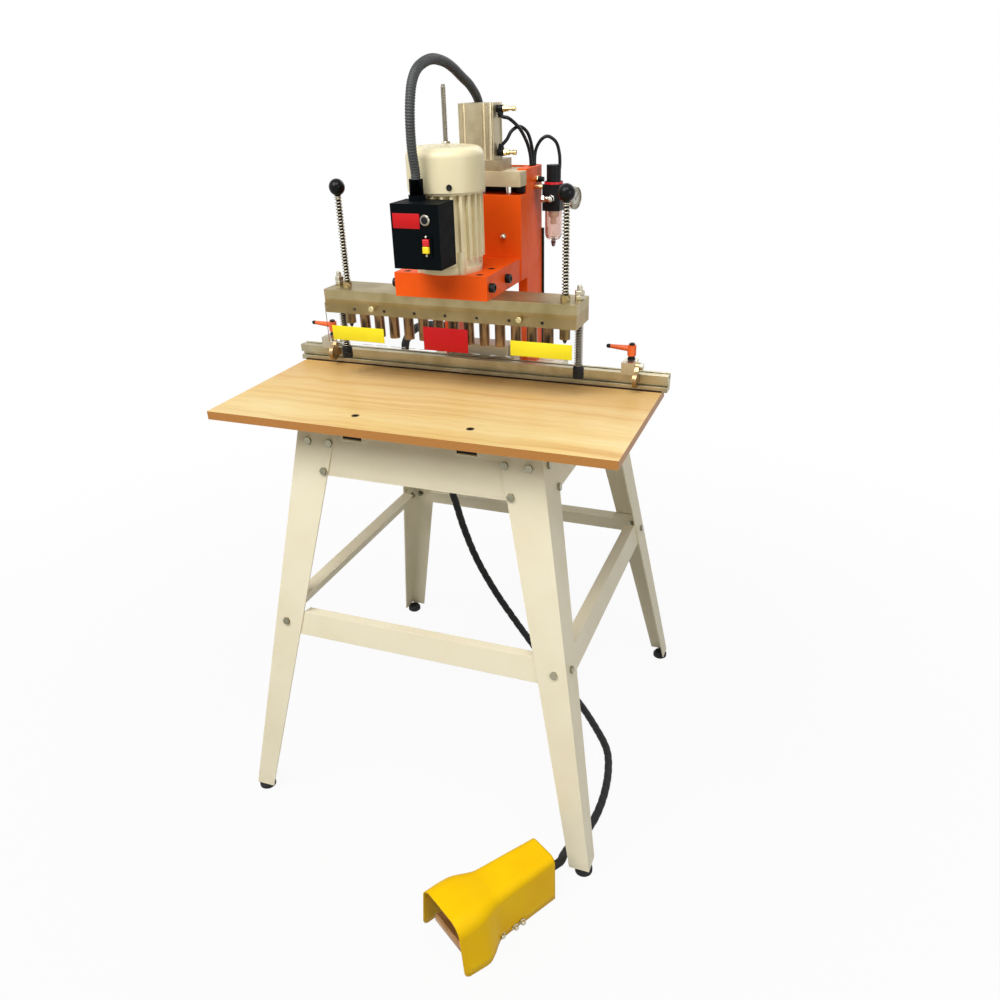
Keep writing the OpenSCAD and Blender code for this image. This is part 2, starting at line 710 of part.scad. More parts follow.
// Air lines from the cylinder and the regulator into the hollow right upright, and one down its back
line_x = column_gap / 2 + column_w / 2;
line_step = 12;
line_end_z = column_top - 14;
line_start = cyl_w / 2 + 7;
line_gap = 6.5 + slip;
high_line = [
    [line_start, port_y, high_port_z - line_gap],
    [line_start, port_y, high_port_z - line_gap - 2],
    [line_start, port_y, high_port_z - line_gap - 4],
    [line_start + 6, port_y, high_port_z - 14],
    [line_start + 18, port_y, high_port_z - 17],
    [line_start + 34, port_y + 9, high_port_z - 33],
    [line_x - 4, line_hole_y - line_step - 15, column_top + 45],
    [line_x - 1, line_hole_y - line_step - 4, column_top + 25],
    [line_x, line_hole_y - line_step, column_top + 8],
    [line_x, line_hole_y - line_step, line_end_z]];
low_line = [
    [line_start, port_y, low_port_z + line_gap],
    [line_start, port_y, low_port_z + line_gap + 2],
    [line_start, port_y, low_port_z + line_gap + 4],
    [line_start + 11, port_y + 3, low_port_z + 22],
    [line_start + 19, port_y + 8, low_port_z + 36],
    [line_start + 31, port_y + 19, low_port_z + 43],
    [line_x - 4, line_hole_y - 20, column_top + 59],
    [line_x, line_hole_y - 6, column_top + 34],
    [line_x, line_hole_y, column_top + 10],
    [line_x, line_hole_y, line_end_z]];
supply_y = rear_port_y + 8;
supply_gap = 5.5 + slip;
supply_line = [
    [line_x, line_hole_y + line_step, line_end_z],
    [line_x, line_hole_y + line_step, column_top + 12],
    [line_x + 3, line_hole_y + line_step + 2, column_top + 30],
    [line_x + 13, line_hole_y + line_step + 4, column_top + 45],
    [line_x + 26, line_hole_y + line_step + 6, column_top + 50],
    [reg_x - 4, supply_y, column_top + 40],
    [reg_x + 3, supply_y, column_top + 20],
    [reg_x + 4, supply_y, column_top - 4],
    [reg_x, supply_y, port_z + supply_gap + 24],
    [reg_x, supply_y, port_z + supply_gap + 8],
    [reg_x, supply_y, port_z + supply_gap + 4],
    [reg_x, supply_y, port_z + supply_gap]];
module air_lines() color(black) {
    for (route = [high_line, low_line, supply_line])
        tube(smooth_path(route, 3), air_line_d / 2, 8, [0, 1, 0]);
    post(column_side - 1, column_back + air_line_d / 2 + slip,
        [rail_top + plate_t + slip, column_top - 120], air_line_d);
}

// Filter regulator with its bowl, gauge and knob
lock_ring_h = 6;
knob_z = reg_top + lock_ring_h + slip;
stem_d = 10;
module regulator_body() color(black) {
    block([reg_x - reg_w / 2, reg_x + reg_w / 2], [reg_y - reg_w / 2, reg_y + reg_w / 2], [reg_z, reg_top]);
    block([column_side, reg_x - reg_w / 2], [reg_y - 13, reg_y + 13], [reg_top - 5, reg_top - 1]);
    post(reg_x, reg_y, [reg_top, reg_top + lock_ring_h], reg_w);
    post(reg_x, reg_y, [reg_top, knob_z + knob_h * 0.6], stem_d);
}
module regulator_knob() color(black) difference() {
    post(reg_x, reg_y, [knob_z, knob_z + knob_h], knob_d);
    post(reg_x, reg_y, [knob_z - 1, knob_z + knob_h * 0.6 + slip], stem_d + run * 2);
    for (a = [0:30:330]) translate([reg_x, reg_y, knob_z]) rotate(a) post(knob_d / 2, 0, [5, knob_h + 1], 3);
}
module filter_bowl() color(clear) {
    bowl_z = reg_z - bowl_l;
    difference() {
        union() {
            post(reg_x, reg_y, [bowl_z + 10, reg_z], bowl_d);
            translate([reg_x, reg_y, bowl_z]) cylinder(d1 = bowl_d - 14, d2 = bowl_d, h = 10);
            post(reg_x, reg_y, [bowl_z - 9, bowl_z], 8);
        }
        post(reg_x, reg_y, [bowl_z + 10, reg_z + 1], bowl_d - 5);
    }
}
gauge_x = reg_x + reg_w / 2;
module pressure_gauge() color(zinc) {
    along_x([gauge_x, gauge_x + 8], reg_y, port_z, 10);
    along_x([gauge_x + 8, gauge_x + 26], reg_y, port_z, gauge_d - 4);
    along_x([gauge_x + 20, gauge_x + 28], reg_y, port_z, gauge_d);
}

// Carriage, whose tongue runs between the uprights, saddle, gear case and lid
carriage_half = column_gap / 2 - slip;
pocket = 18;
carriage_back = carriage_front + carriage_d;
module carriage() color(orange) difference() {
    union() {
        block([-column_side, column_side], [carriage_front, column_front - slip], [case_top, carriage_top]);
        block([-carriage_half, carriage_half], [carriage_front, carriage_back], [case_top, carriage_top]);
    }
    block([-carriage_half + pocket, carriage_half - pocket], [carriage_front + pocket, carriage_back + 1],
        [case_top + pocket, carriage_top - pocket - 20]);
}
shaft_room = 44;
saddle_bolt_x = 72;
saddle_bolt_y = [-34, 24];
cap_head_d = 15;
side_bolt_y = [-36, 48];
side_bolt_z = case_top + saddle_h / 2;
module motor_saddle() color(orange) difference() {
    block([-saddle_w / 2, saddle_w / 2], [-saddle_front, carriage_front], [case_top, saddle_top]);
    post(0, 0, [case_top - 1, saddle_top + 1], shaft_room);
    for (x = [-saddle_bolt_x, saddle_bolt_x], y = saddle_bolt_y)
        post(x, y, [saddle_top - 12, saddle_top + 1], cap_head_d);
    for (y = side_bolt_y) both_sides()
        along_x([saddle_w / 2 - 12, saddle_w / 2 + 1], y, side_bolt_z, bolt_d);
}
pin_x = pitch * (spindle_count + 1) / 2;
function spindle_x(i) = (i - (spindle_count + 1) / 2) * pitch;
teeth = 16;
gear_module = pitch / teeth;
gear_tip = pitch / 2 + gear_module * 0.75;
gear_root = pitch / 2 - gear_module * 1.05;
gear_room = gear_tip + 0.8;
floor_h = bush_l;
guide_d = chuck_d;
screw_hole_d = 6;
screw_hole_l = 3;
screw_hole_up = 9;
guide_l = 27;
module pin_bores(z) for (s = [-1, 1]) {
    post(s * pin_x, 0, z, pin_d + run * 2);
    post(s * hold_x, hold_back, z, hold_d + run * 2);
}
module gear_case() color(aluminium) difference() {
    union() {
        block([-case_l / 2, case_l / 2], [-case_front, case_back], [case_z, lid_z]);
        for (s = [-1, 1]) post(s * pin_x, 0, [case_z - guide_l, case_z], guide_d);
    }
    for (i = [1:spindle_count]) {
        post(spindle_x(i), 0, [case_z + floor_h, lid_z + 1], gear_room * 2);
        post(spindle_x(i), 0, [case_z - 1, case_z + floor_h + 1], bush_d);
    }
    for (i = [1:2:spindle_count])
        along_y(spindle_x(i), [-case_front - 1, screw_hole_l - case_front], case_z + screw_hole_up,
            screw_hole_d);
    pin_bores([case_z - guide_l - 1, lid_z + 1]);
}
module gear_case_lid() color(aluminium) difference() {
    union() {
        block([-case_l / 2, case_l / 2], [-case_front, case_back], [lid_z, case_top]);
        for (s = [-1, 1]) hex_post(s * pin_x, 0, [case_top, case_top + boss_h], 16);
    }
    for (i = [1:spindle_count]) post(spindle_x(i), 0, [lid_z - 1, lid_z + bush_l], bush_d);
    post(0, 0, [lid_z - 1, case_top + 1], shaft_d + rod_room * 2);
    pin_bores([lid_z - 1, case_top + boss_h + 1]);
}
module spindle_bushes() color(bronze) for (i = [1:spindle_count], z = [case_z, lid_z]) difference() {
    post(spindle_x(i), 0, [z, z + bush_l], bush_d);
    post(spindle_x(i), 0, [z - 1, z + bush_l + 1], shaft_d + run * 2);
}
thumb_x = 150;
thumb_z = case_z + 14;
module spindle_guard() color(clear) difference() {
    block([-case_l / 2, case_l / 2], [-case_front - slip - guard_t, -case_front - slip],
        [case_z - guard_drop, case_z - guard_drop + guard_h]);
    for (s = [-1, 1]) along_y(s * thumb_x, [-case_front - guard_t - 2, -case_front + 1], thumb_z, 5 + slip);
}
module cap_screw() {
    along_x([0, 10], 0, 0, cap_head_d);
    along_x([-12, 0], 0, 0, bolt_d);
}
module head_bolts() color(black) {
    for (y = side_bolt_y) both_sides() translate([saddle_w / 2, y, side_bolt_z]) cap_screw();
    for (x = [-saddle_bolt_x, saddle_bolt_x], y = saddle_bolt_y)
        post(x, y, [saddle_top - 12, saddle_top - 4], cap_head_d - 1);
    for (s = [-1, 1]) {
        along_y(s * thumb_x, [-case_front - guard_t - slip - 9, -case_front - guard_t - slip], thumb_z, 11);
        along_y(s * thumb_x, [-case_front - guard_t - slip, -case_front], thumb_z, 5);
    }
    along_y(58, [carriage_front - 9, carriage_front], carriage_top - 74, 6);
}

// Motor: flange, finned body with a pad for the switch box, fan cover
fin_count = 24;
fin_t = 5;
fin_h = 9;
pad_w = 60;
box_back = -motor_d / 2 - 9;
box_z = saddle_top + box_up;
motor_bore = 16;
lug_d = 15;
module motor_body() color(cream) difference() {
    union() {
        post(0, 0, [saddle_top, motor_z], flange_d);
        post(0, 0, [motor_z, motor_top], motor_d - fin_h * 2);
        post(0, 0, [motor_top - cover_lap - 4, motor_top], cover_d - cover_wall * 2 - slip);
        for (k = [0:fin_count - 1]) rotate(360 * k / fin_count)
            block([0, motor_d / 2], [-fin_t / 2, fin_t / 2], [motor_z + 14, motor_top]);
        for (a = [45:90:315]) rotate(a) post(motor_d / 2 - lug_d / 2, 0, [saddle_top, motor_z + 26], lug_d);
        block([-pad_w / 2, pad_w / 2], [box_back, 0], [box_z + 14, box_z + box_h - 22]);
    }
    post(0, 0, [saddle_top - 1, motor_top + 1], motor_bore);
    post(0, 0, [motor_top - 6, motor_top + 1], cover_d / 2);
}
vent_rings = [[0, 1], [14, 8], [28, 14], [42, 20]];
dome_r = 16;
module fan_cover() color(cream) {
    r = cover_d / 2;
    difference() {
        translate([0, 0, cover_z]) rotate_extrude() difference() {
            union() {
                square([r, cover_h - dome_r]);
                square([r - dome_r, cover_h]);
                translate([r - dome_r, cover_h - dome_r]) circle(r = dome_r);
            }
            square([r - cover_wall, cover_h - dome_r]);
            square([r - dome_r, cover_h - cover_wall]);
            translate([r - dome_r, cover_h - dome_r]) circle(r = dome_r - cover_wall);
            translate([-cover_d, -1]) square([cover_d, cover_h + 2]);
        }
        for (v = vent_rings, k = [0:v[1] - 1]) rotate(360 * k / v[1])
            post(v[0], 0, [cover_z + cover_h - cover_wall - 1, cover_z + cover_h + 1], 6);
    }
}

// Switch box on the motor, with its rocker and the conduit's gland
box_front = box_back - box_d;
rocker_x = 20;
rocker_z = box_z + 39;
rocker_w = 12;
rocker_h = 26;
bezel = 4;
conduit_x = -17;
conduit_y = box_back - 14;
gland_h = 33;
axle_d = 3;
module switch_box() color(black) difference() {
    union() {
        block([-box_w / 2, box_w / 2], [box_front, box_back], [box_z, box_z + box_h]);
        translate([rocker_x, box_front, rocker_z])
            block([-rocker_w / 2 - bezel, rocker_w / 2 + bezel], [-3, 0],
                [-rocker_h / 2 - bezel, rocker_h / 2 + bezel]);
        post(conduit_x, conduit_y, [box_z + box_h, box_z + box_h + gland_h], conduit_d + 4);
        hex_post(conduit_x, conduit_y, [box_z + box_h, box_z + box_h + 8], conduit_d + 8);
    }
    translate([rocker_x, box_front, rocker_z]) {
        block([-rocker_w / 2 - slip, rocker_w / 2 + slip], [-4, 14], [-rocker_h / 2 - 1, rocker_h / 2 + 1]);
        along_x([-rocker_w / 2 - 3, rocker_w / 2 + 3], 4, 0, axle_d + run * 2);
    }
    post(conduit_x, conduit_y, [conduit_low, box_z + box_h + gland_h + 1], conduit_d + slip * 2);
}
module switch_rocker() color(red) translate([rocker_x, box_front, rocker_z]) {
    intersection() {
        block([-rocker_w / 2, rocker_w / 2], [-8, 8], [-rocker_h / 2, rocker_h / 2]);
        along_x([-rocker_w / 2, rocker_w / 2], 4, 0, rocker_h * 0.9);
    }
    along_x([-rocker_w / 2 - 2.5, rocker_w / 2 + 2.5], 4, 0, axle_d);
}

// Ribbed conduit from the switch box over the cylinder to the column's ledge
conduit_low = box_z + box_h + gland_h - 12;
conduit_end_y = web_y + back_t + ledge_l / 2;
socket_z = ledge_z + 12;
conduit_route = [
    [conduit_x, conduit_y, conduit_low + slip],
    [conduit_x, conduit_y, conduit_low + 12],
    [conduit_x, conduit_y, conduit_low + 24],
    [conduit_x - 1, conduit_y - 5, conduit_low + 57],
    [conduit_x - 1, conduit_y - 5, conduit_low + 96],
    [conduit_x - 1, conduit_y + 1, conduit_low + 130],
    [conduit_x - 1, conduit_y + 14, conduit_low + 158],
    [conduit_x - 1, conduit_y + 40, conduit_low + 177],
    [conduit_x - 1, conduit_y + 88, conduit_low + 188],
    [conduit_x - 1, conduit_y + 136, conduit_low + 186],
    [conduit_x - 1, conduit_y + 178, conduit_low + 177],
    [conduit_x - 1, conduit_y + 222, conduit_low + 161],
    [conduit_x - 3, cyl_y + cyl_w / 2 - 24, cyl_top + 26],
    [conduit_x - 6, cyl_y + cyl_w / 2 + 20, cyl_top - 3],
    [ledge_x + 3, conduit_end_y - 8, cyl_top - 60],
    [ledge_x, conduit_end_y, socket_z + 30],
    [ledge_x, conduit_end_y, socket_z + 15],
    [ledge_x, conduit_end_y, socket_z + slip]];
rib_count = 56;
rib_depth = 1;
module conduit() color(black) {
    dense = smooth_path(conduit_route, 10);
    rings = even_path(dense, rib_count * 2);
    radii = [for (i = [0:rib_count * 2 - 1]) conduit_d / 2 - (i % 2) * rib_depth];
    bored_tube(rings, radii, even_path(dense, rib_count), conduit_d / 2 - rib_depth - 1.5, 8, [1, 0, 0]);
}

// Spindles: a shaft with its gear, and the chuck on its lower end
function gear_outline() = [
    for (k = [0:teeth - 1], c = [[-7.9, gear_root], [-2.4, gear_tip], [2.4, gear_tip], [7.9, gear_root]])
        let (a = 360 * k / teeth + c[0]) [c[1] * cos(a), c[1] * sin(a)]];
gear_z = case_z + floor_h + 1;
spigot_d = chuck_bore - 2;
pilot_l = 3;
chuck_floor = chuck_z + chuck_depth + pilot_l + 4;
shaft_top = lid_z + bush_l - slip;
fan_z = motor_top + 8;
fan_d = 110;
coupling_d = 32;
module spindle(i) {
    middle = i == (spindle_count + 1) / 2;
    translate([spindle_x(i), 0, 0]) {
        color(steel) {
            post(0, 0, [chuck_floor, case_z - slip], spigot_d);
            post(0, 0, [case_z - slip, middle ? fan_z : shaft_top], shaft_d);
            translate([0, 0, gear_z]) rotate(i % 2 == 0 ? 180 / teeth : 0)
                linear_extrude(gear_h) polygon(gear_outline());
            if (middle) {
                post(0, 0, [case_top + 6, saddle_top - 8], coupling_d);
                post(0, 0, [fan_z, fan_z + 16], coupling_d);
                post(0, 0, [fan_z, fan_z + 3], fan_d);
                for (a = [0:60:300]) rotate(a)
                    block([coupling_d / 2 - 2, fan_d / 2 - 2], [-1, 1], [fan_z, fan_z + 16]);
            }
        }
        color(bronze) difference() {
            post(0, 0, [chuck_z, case_z - slip], chuck_d);
            post(0, 0, [chuck_z - 1, chuck_z + chuck_depth], chuck_bore);
            post(0, 0, [chuck_z, chuck_z + chuck_depth + pilot_l], chuck_bore - 0.4);
            post(0, 0, [chuck_floor, case_z], spigot_d);
            along_y(0, [-chuck_d / 2 - 1, -chuck_d / 2 + 2], chuck_z + 12, 5);
        }
    }
}

// Index pins and hold-downs with their springs
pin_tip = case_z - guide_l - 8;
module index_pin() color(steel) union() {
    post(0, 0, [pin_tip + 4, ball_z], pin_d);
    translate([0, 0, pin_tip]) cylinder(d1 = pin_d - 4, d2 = pin_d, h = 4);
    translate([0, 0, ball_z]) sphere(d = ball_d);
    post(0, 0, [ball_z - ball_d / 2, ball_z], ball_d * 0.5);
}
lock_nut_h = 8;
hold_top = case_top + lock_nut_h * 2 + 9;
module hold_down() color(steel) union() {
    post(0, 0, [pad_z + pad_h, hold_top], hold_d);
    post(0, 0, [pad_z, pad_z + pad_h], pad_d);
    hex_post(0, 0, [case_top + slip, case_top + slip + lock_nut_h * 2], hold_d * 1.6);
}
module pin_place(s) translate([s * pin_x, 0, 0]) children();
module hold_place(s) translate([s * hold_x, hold_back, 0]) children();
module index_spring() color(steel) tube(pin_coil, pin_wire / 2, spring_sides, [1, 0.01, 0]);
module hold_down_spring() color(steel) tube(hold_coil, hold_wire / 2, spring_sides, [1, 0.01, 0]);

// Foot pedal: a folded cover that flares to a hood, on a base with a ribbed tread
module pedal_place() translate([pedal_x, -pedal_y, 0]) rotate([0, 0, -pedal_turn]) children();
arc_steps = 5;
function arch(foot, half, h, r) = concat([[-foot, 0]],
    [for (k = [0:arc_steps]) [-half + r - r * cos(90 * k / arc_steps), h - r + r * sin(90 * k / arc_steps)]],
    [for (k = [0:arc_steps]) [half - r + r * sin(90 * k / arc_steps), h - r + r * cos(90 * k / arc_steps)]],
    [[foot, 0]]);
back_half = pedal_w / 2;
hood_half = hood_w / 2;
// Along the cover: share of its length, half width at the floor and at the shoulder, height, shoulder radius
cover_stations = [
    [0, back_half, back_half - 1.5, pedal_h, 16],
    [0.3, back_half + 4.3, back_half + 2.5, pedal_h, 17],
    [0.55, back_half + 7.7, back_half + 6, pedal_h + 1, 20],
    [0.62, back_half + 14, back_half + 10, pedal_h + 3, 23],
    [0.69, hood_half - 8, hood_half - 17, hood_h - 4, 27],
    [0.77, hood_half + 2, hood_half - 11, hood_h - 1, 30],
    [0.87, hood_half + 2, hood_half - 9, hood_h, 32],
    [1, hood_half, hood_half - 10, hood_h - 2, 30]];
module pedal_cover() color(yellow) pedal_place() {
    t = pedal_sheet;
    loops = [
        for (s = smooth_path(cover_stations, 3))
            let (out = arch(s[1], s[2], s[3], s[4]), inn = arch(s[1] - t, s[2] - t, s[3] - t, s[4] - t))
            [for (p = concat(out, [for (k = [len(inn) - 1:-1:0]) inn[k]])) [p[0], -s[0] * pedal_l, p[1]]]];
    n = len(loops[0]);
    m = len(loops);
    walls = [
        for (i = [0:m - 2], k = [0:n - 1], half = [0, 1])
            let (a = i * n + k, b = i * n + (k + 1) % n) half == 0 ? [a, b, b + n] : [a, b + n, a + n]];
    ends = [
        for (k = [0:n / 2 - 2], far = [0, 1], half = [0, 1])
            let (
                at = far * (m - 1) * n,
                far_k = at + n - 1 - k,
                f = half == 0 ? [at + k, far_k - 1, at + k + 1] : [at + k, far_k, far_k - 1])
            far == 0 ? f : [f[2], f[1], f[0]]];
    polyhedron([for (loop = loops, p = loop) p], concat(walls, ends), convexity = 8);
}
base_gap = 0.6;
base_half = back_half - pedal_sheet - base_gap;
base_t = 5;
base_l = 190;
waist_y = -0.55 * pedal_l;
wall_in = pedal_sheet + slip;
hinge_y = -95;
hinge_z = 46;
hinge_d = 8;
lug_half = back_half + 1.5;
tread_half = lug_half - 6.5;
toe_half = tread_half + 11;
toe_y = -150;
hose_z = 40;
module pedal_base() color(black) pedal_place() {
    union() {
        linear_extrude(base_t) polygon([
            [-base_half, -slip], [base_half, -slip], [base_half + 7, waist_y], [base_half + 7, -base_l],
            [-base_half - 7, -base_l], [-base_half - 7, waist_y]]);
        translate([0, -slip, 0]) rotate([90, 0, 0]) linear_extrude(4)
            polygon(arch(back_half - wall_in, back_half - 1.5 - wall_in, pedal_h - wall_in, 16 - wall_in));
        block([-24, 24], [-80, -3], [0, 62]);
        both_sides() block([tread_half + 1, lug_half], [hinge_y - 10, hinge_y + 10], [0, hinge_z + 10]);
        along_x([-lug_half, lug_half], hinge_y, hinge_z, hinge_d);
        along_y(0, [-slip, 14], hose_z, hose_d + 6);
    }
}
tread_end = -214;
rib_step = 12;
module pedal_tread() color(steel) pedal_place() difference() {
    union() {
        along_x([-tread_half, tread_half], hinge_y, hinge_z, hinge_d + 8);
        block([-tread_half, tread_half], [tread_end, hinge_y], [hinge_z - 3, hinge_z + 2]);
        block([-toe_half, toe_half], [tread_end, toe_y], [hinge_z - 3, hinge_z + 2]);
        for (y = [tread_end + 4:rib_step:hinge_y - 14]) {
            half = y + 5 < toe_y ? toe_half : tread_half;
            block([-half, half], [y, y + 5], [hinge_z, hinge_z + 5]);
        }
        block([-toe_half, toe_half], [tread_end, tread_end + 3], [hinge_z - 12, hinge_z]);
    }
    along_x([-tread_half - 1, tread_half + 1], hinge_y, hinge_z, hinge_d + run * 2);
}

// Foot hose: from the column's gland down behind the table, over the floor to the pedal
function pedal_back(d) =
    [pedal_x + d * sin(pedal_turn), d * cos(pedal_turn) - pedal_y, hose_z];
hose_route = [
    [gland_x - gland_l - slip, gland_y, gland_z], [gland_x - gland_l - 4, gland_y, gland_z],
    [gland_x - gland_l - 8, gland_y, gland_z], [-146, 190, 951], [-176, 189, 942], [-197, 186, 920],
    [-205, 184, 888],
    [-203, 187, 840], [-193, 199, 775], [-177, 216, 700], [-160, 233, 620], [-144, 245, 550],
    [-130, 250, 490],
    [-112, 252, 420],
    [-80, 252, 335], [-33, 251, 250], [15, 250, 180], [63, 248, 116], [108, 240, 64],
    [152, 222, 28], [194, 193, 13], [233, 158, 9.5], [290, 88, 9.5], [336, 20, 9.5],
    [358, -50, 9.5], [368, -130, 9.5], [366, -205, 10], [354, -270, 16], [339, -320, 28],
    pedal_back(44), pedal_back(30), pedal_back(14)];
module foot_hose() color(black) tube(smooth_path(hose_route, 2), hose_d / 2, 10, [0, 0.2, 1]);

module stop_place(s) translate([s < 0 ? left_stop_x : right_stop_x, 0, 0]) children();
placed() stand_legs();
placed() stand_rails();
placed() levelling_feet();
placed() stand_bolts();
placed() base_frame();
placed() table_top();
placed() fence_rail();
placed() column();
placed() cylinder_bracket();
placed() cylinder_barrel();
placed() fittings();
placed() air_lines();
placed() regulator_body();
placed() filter_bowl();
placed() pressure_gauge();
placed() regulator_knob();
placed() pedal_cover();
placed() pedal_base();
placed() pedal_tread();
placed() foot_hose();
placed() carriage();
placed() motor_saddle();
placed() gear_case();
placed() gear_case_lid();
placed() motor_body();
placed() fan_cover();
placed() switch_box();
placed() switch_rocker();
placed() conduit();
placed() lift_rods();
placed() spindle_guard();
placed() head_bolts();
placed() spindle_bushes();
for (i = [1:spindle_count]) placed() spindle(i);
placed() pin_place(-1) index_pin();  // index_pin_left
placed() pin_place(1) index_pin();  // index_pin_right
placed() pin_place(-1) index_spring();  // index_spring_left
placed() pin_place(1) index_spring();  // index_spring_right
placed() hold_place(-1) hold_down();  // hold_down_left
placed() hold_place(1) hold_down();  // hold_down_right
placed() hold_place(-1) hold_down_spring();  // hold_down_spring_left
placed() hold_place(1) hold_down_spring();  // hold_down_spring_right
placed() stop_place(-1) stop_block();  // stop_block_left
placed() stop_place(1) stop_block();  // stop_block_right
placed() stop_place(-1) stop_paddle();  // stop_paddle_left
placed() stop_place(1) stop_paddle();  // stop_paddle_right
placed() stop_place(-1) stop_lever();  // stop_lever_left
placed() stop_place(1) stop_lever();  // stop_lever_right
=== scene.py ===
import bpy, bmesh, math
from mathutils import Vector, Matrix


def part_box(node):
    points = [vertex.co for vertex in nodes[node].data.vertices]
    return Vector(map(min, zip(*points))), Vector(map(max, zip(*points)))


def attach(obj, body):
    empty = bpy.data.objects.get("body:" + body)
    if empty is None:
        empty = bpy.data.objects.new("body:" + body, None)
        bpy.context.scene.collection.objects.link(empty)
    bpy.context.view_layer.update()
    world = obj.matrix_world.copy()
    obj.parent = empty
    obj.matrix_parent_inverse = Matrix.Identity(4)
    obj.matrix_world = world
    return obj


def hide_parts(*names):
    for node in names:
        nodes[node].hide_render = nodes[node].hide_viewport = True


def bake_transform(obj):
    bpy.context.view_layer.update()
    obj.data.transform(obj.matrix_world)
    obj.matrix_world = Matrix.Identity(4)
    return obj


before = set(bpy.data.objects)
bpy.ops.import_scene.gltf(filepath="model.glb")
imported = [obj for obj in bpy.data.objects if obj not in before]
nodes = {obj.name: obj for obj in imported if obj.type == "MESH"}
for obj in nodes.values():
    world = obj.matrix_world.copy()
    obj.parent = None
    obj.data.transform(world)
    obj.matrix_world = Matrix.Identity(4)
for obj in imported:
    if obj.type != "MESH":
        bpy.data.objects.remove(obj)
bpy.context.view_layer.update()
mm = 0.001
bothSides = (("left", -1), ("right", 1))
rowLow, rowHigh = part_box("spindle_07")
rowY = (rowLow[1] + rowHigh[1]) / 2 / mm  # depth of the spindle row in the shared frame


def place(x, y, z):  # a spot counted from the spindle row and the floor, in millimetres
    return Vector((x * mm, (y + rowY) * mm, z * mm))


def linkObject(name, data):
    thing = bpy.data.objects.new(name, data)
    bpy.context.collection.objects.link(thing)
    return thing


# camera at the photograph's place, turned 20.6 degrees to the left and looking 29.7 degrees down
cameraView = {"x": 674.35, "y": -1509.99, "z": 1427.05, "yaw": 20.58, "pitch": 29.67, "roll": -1.22,
              "focal": 850.66, "centreX": 510.68, "centreY": 558.55, "frame": 1000, "sensor": 36}


def makeCamera(c):
    yaw, pitch, roll = (math.radians(c[k]) for k in ("yaw", "pitch", "roll"))
    ahead = Vector((-math.sin(yaw) * math.cos(pitch), math.cos(yaw) * math.cos(pitch), -math.sin(pitch)))
    side = Vector((math.cos(yaw), math.sin(yaw), 0))
    above = side.cross(ahead)
    right = side * math.cos(roll) + above * math.sin(roll)
    up = -side * math.sin(roll) + above * math.cos(roll)
    data = bpy.data.cameras.new("photoCamera")
    data.sensor_width = c["sensor"]
    data.lens = c["focal"] / c["frame"] * c["sensor"]
    data.shift_x = 0.5 - c["centreX"] / c["frame"]
    data.shift_y = c["centreY"] / c["frame"] - 0.5
    data.clip_start, data.clip_end = 0.05, 60
    camera = linkObject("photoCamera", data)
    turn = Matrix((right, up, -ahead)).transposed().to_4x4()
    camera.matrix_world = Matrix.Translation(place(c["x"], c["y"], c["z"])) @ turn
    bpy.context.scene.camera = camera


makeCamera(cameraView)
bpy.context.scene.view_settings.view_transform = "Standard"
print("camera set")


# finishes
def fromHex(code):
    value = [int(code[i:i + 2], 16) / 255 for i in (0, 2, 4)]
    return [c / 12.92 if c <= 0.04045 else ((c + 0.055) / 1.055) ** 2.4 for c in value] + [1]


# adds a node; each value is a node or socket to link, an input's value or the node's own setting
def addNode(tree, kind, values={}):
    node = tree.nodes.new(kind if tree.type == "GEOMETRY" else "ShaderNode" + kind)
    for key, value in values.items():
        if isinstance(value, bpy.types.Node):
            value = value.outputs[0]
        if isinstance(value, bpy.types.NodeSocket):
            tree.links.new(value, node.inputs[key])
        elif isinstance(key, int) or key in node.inputs:
            node.inputs[key].default_value = value
        else:
            setattr(node, key, value)
    return node


def startFinish(name):
    material = bpy.data.materials.new(name)
    material.use_nodes = True
    tree = material.node_tree
    tree.nodes.clear()
    return material, tree, addNode(tree, "TexCoord").outputs["Object"]


def closeFinish(material, values):
    shader = addNode(material.node_tree, "BsdfPrincipled", values)
    addNode(material.node_tree, "OutputMaterial", {"Surface": shader})
    return material


def paintFinish(name, base, shade, rough, coat, gloss=0.5):
    # sprayed enamel or powder coat: even colour, faint clouding, orange peel of about 2 mm
    material, tree, spot = startFinish(name)
    cloud = addNode(tree, "TexNoise", {"Scale": 9, "Detail": 3, "Vector": spot})
    tone = addNode(tree, "MapRange", {0: cloud, 1: 0.35, 2: 0.7, 3: 0, 4: 0.55})
    colour = addNode(tree, "Mix", {"data_type": "RGBA", 0: tone, 6: fromHex(base), 7: fromHex(shade)})
    scuff = addNode(tree, "TexNoise", {"Scale": 60, "Detail": 6, "Roughness": 0.7, "Vector": spot})
    worn = addNode(tree, "MapRange", {0: scuff, 1: 0.3, 2: 0.75, 3: rough - 0.07, 4: rough + 0.1})
    peel = addNode(tree, "TexNoise", {"Scale": 500, "Detail": 1, "Vector": spot})
    bump = addNode(tree, "Bump", {"Strength": 0.08, "Distance": 0.0004, "Height": peel})
    return closeFinish(material, {
        "IOR": 1.5, "Specular IOR Level": gloss, "Coat Weight": coat, "Coat Roughness": 0.12,
        "Base Color": colour.outputs[2], "Roughness": worn, "Normal": bump})


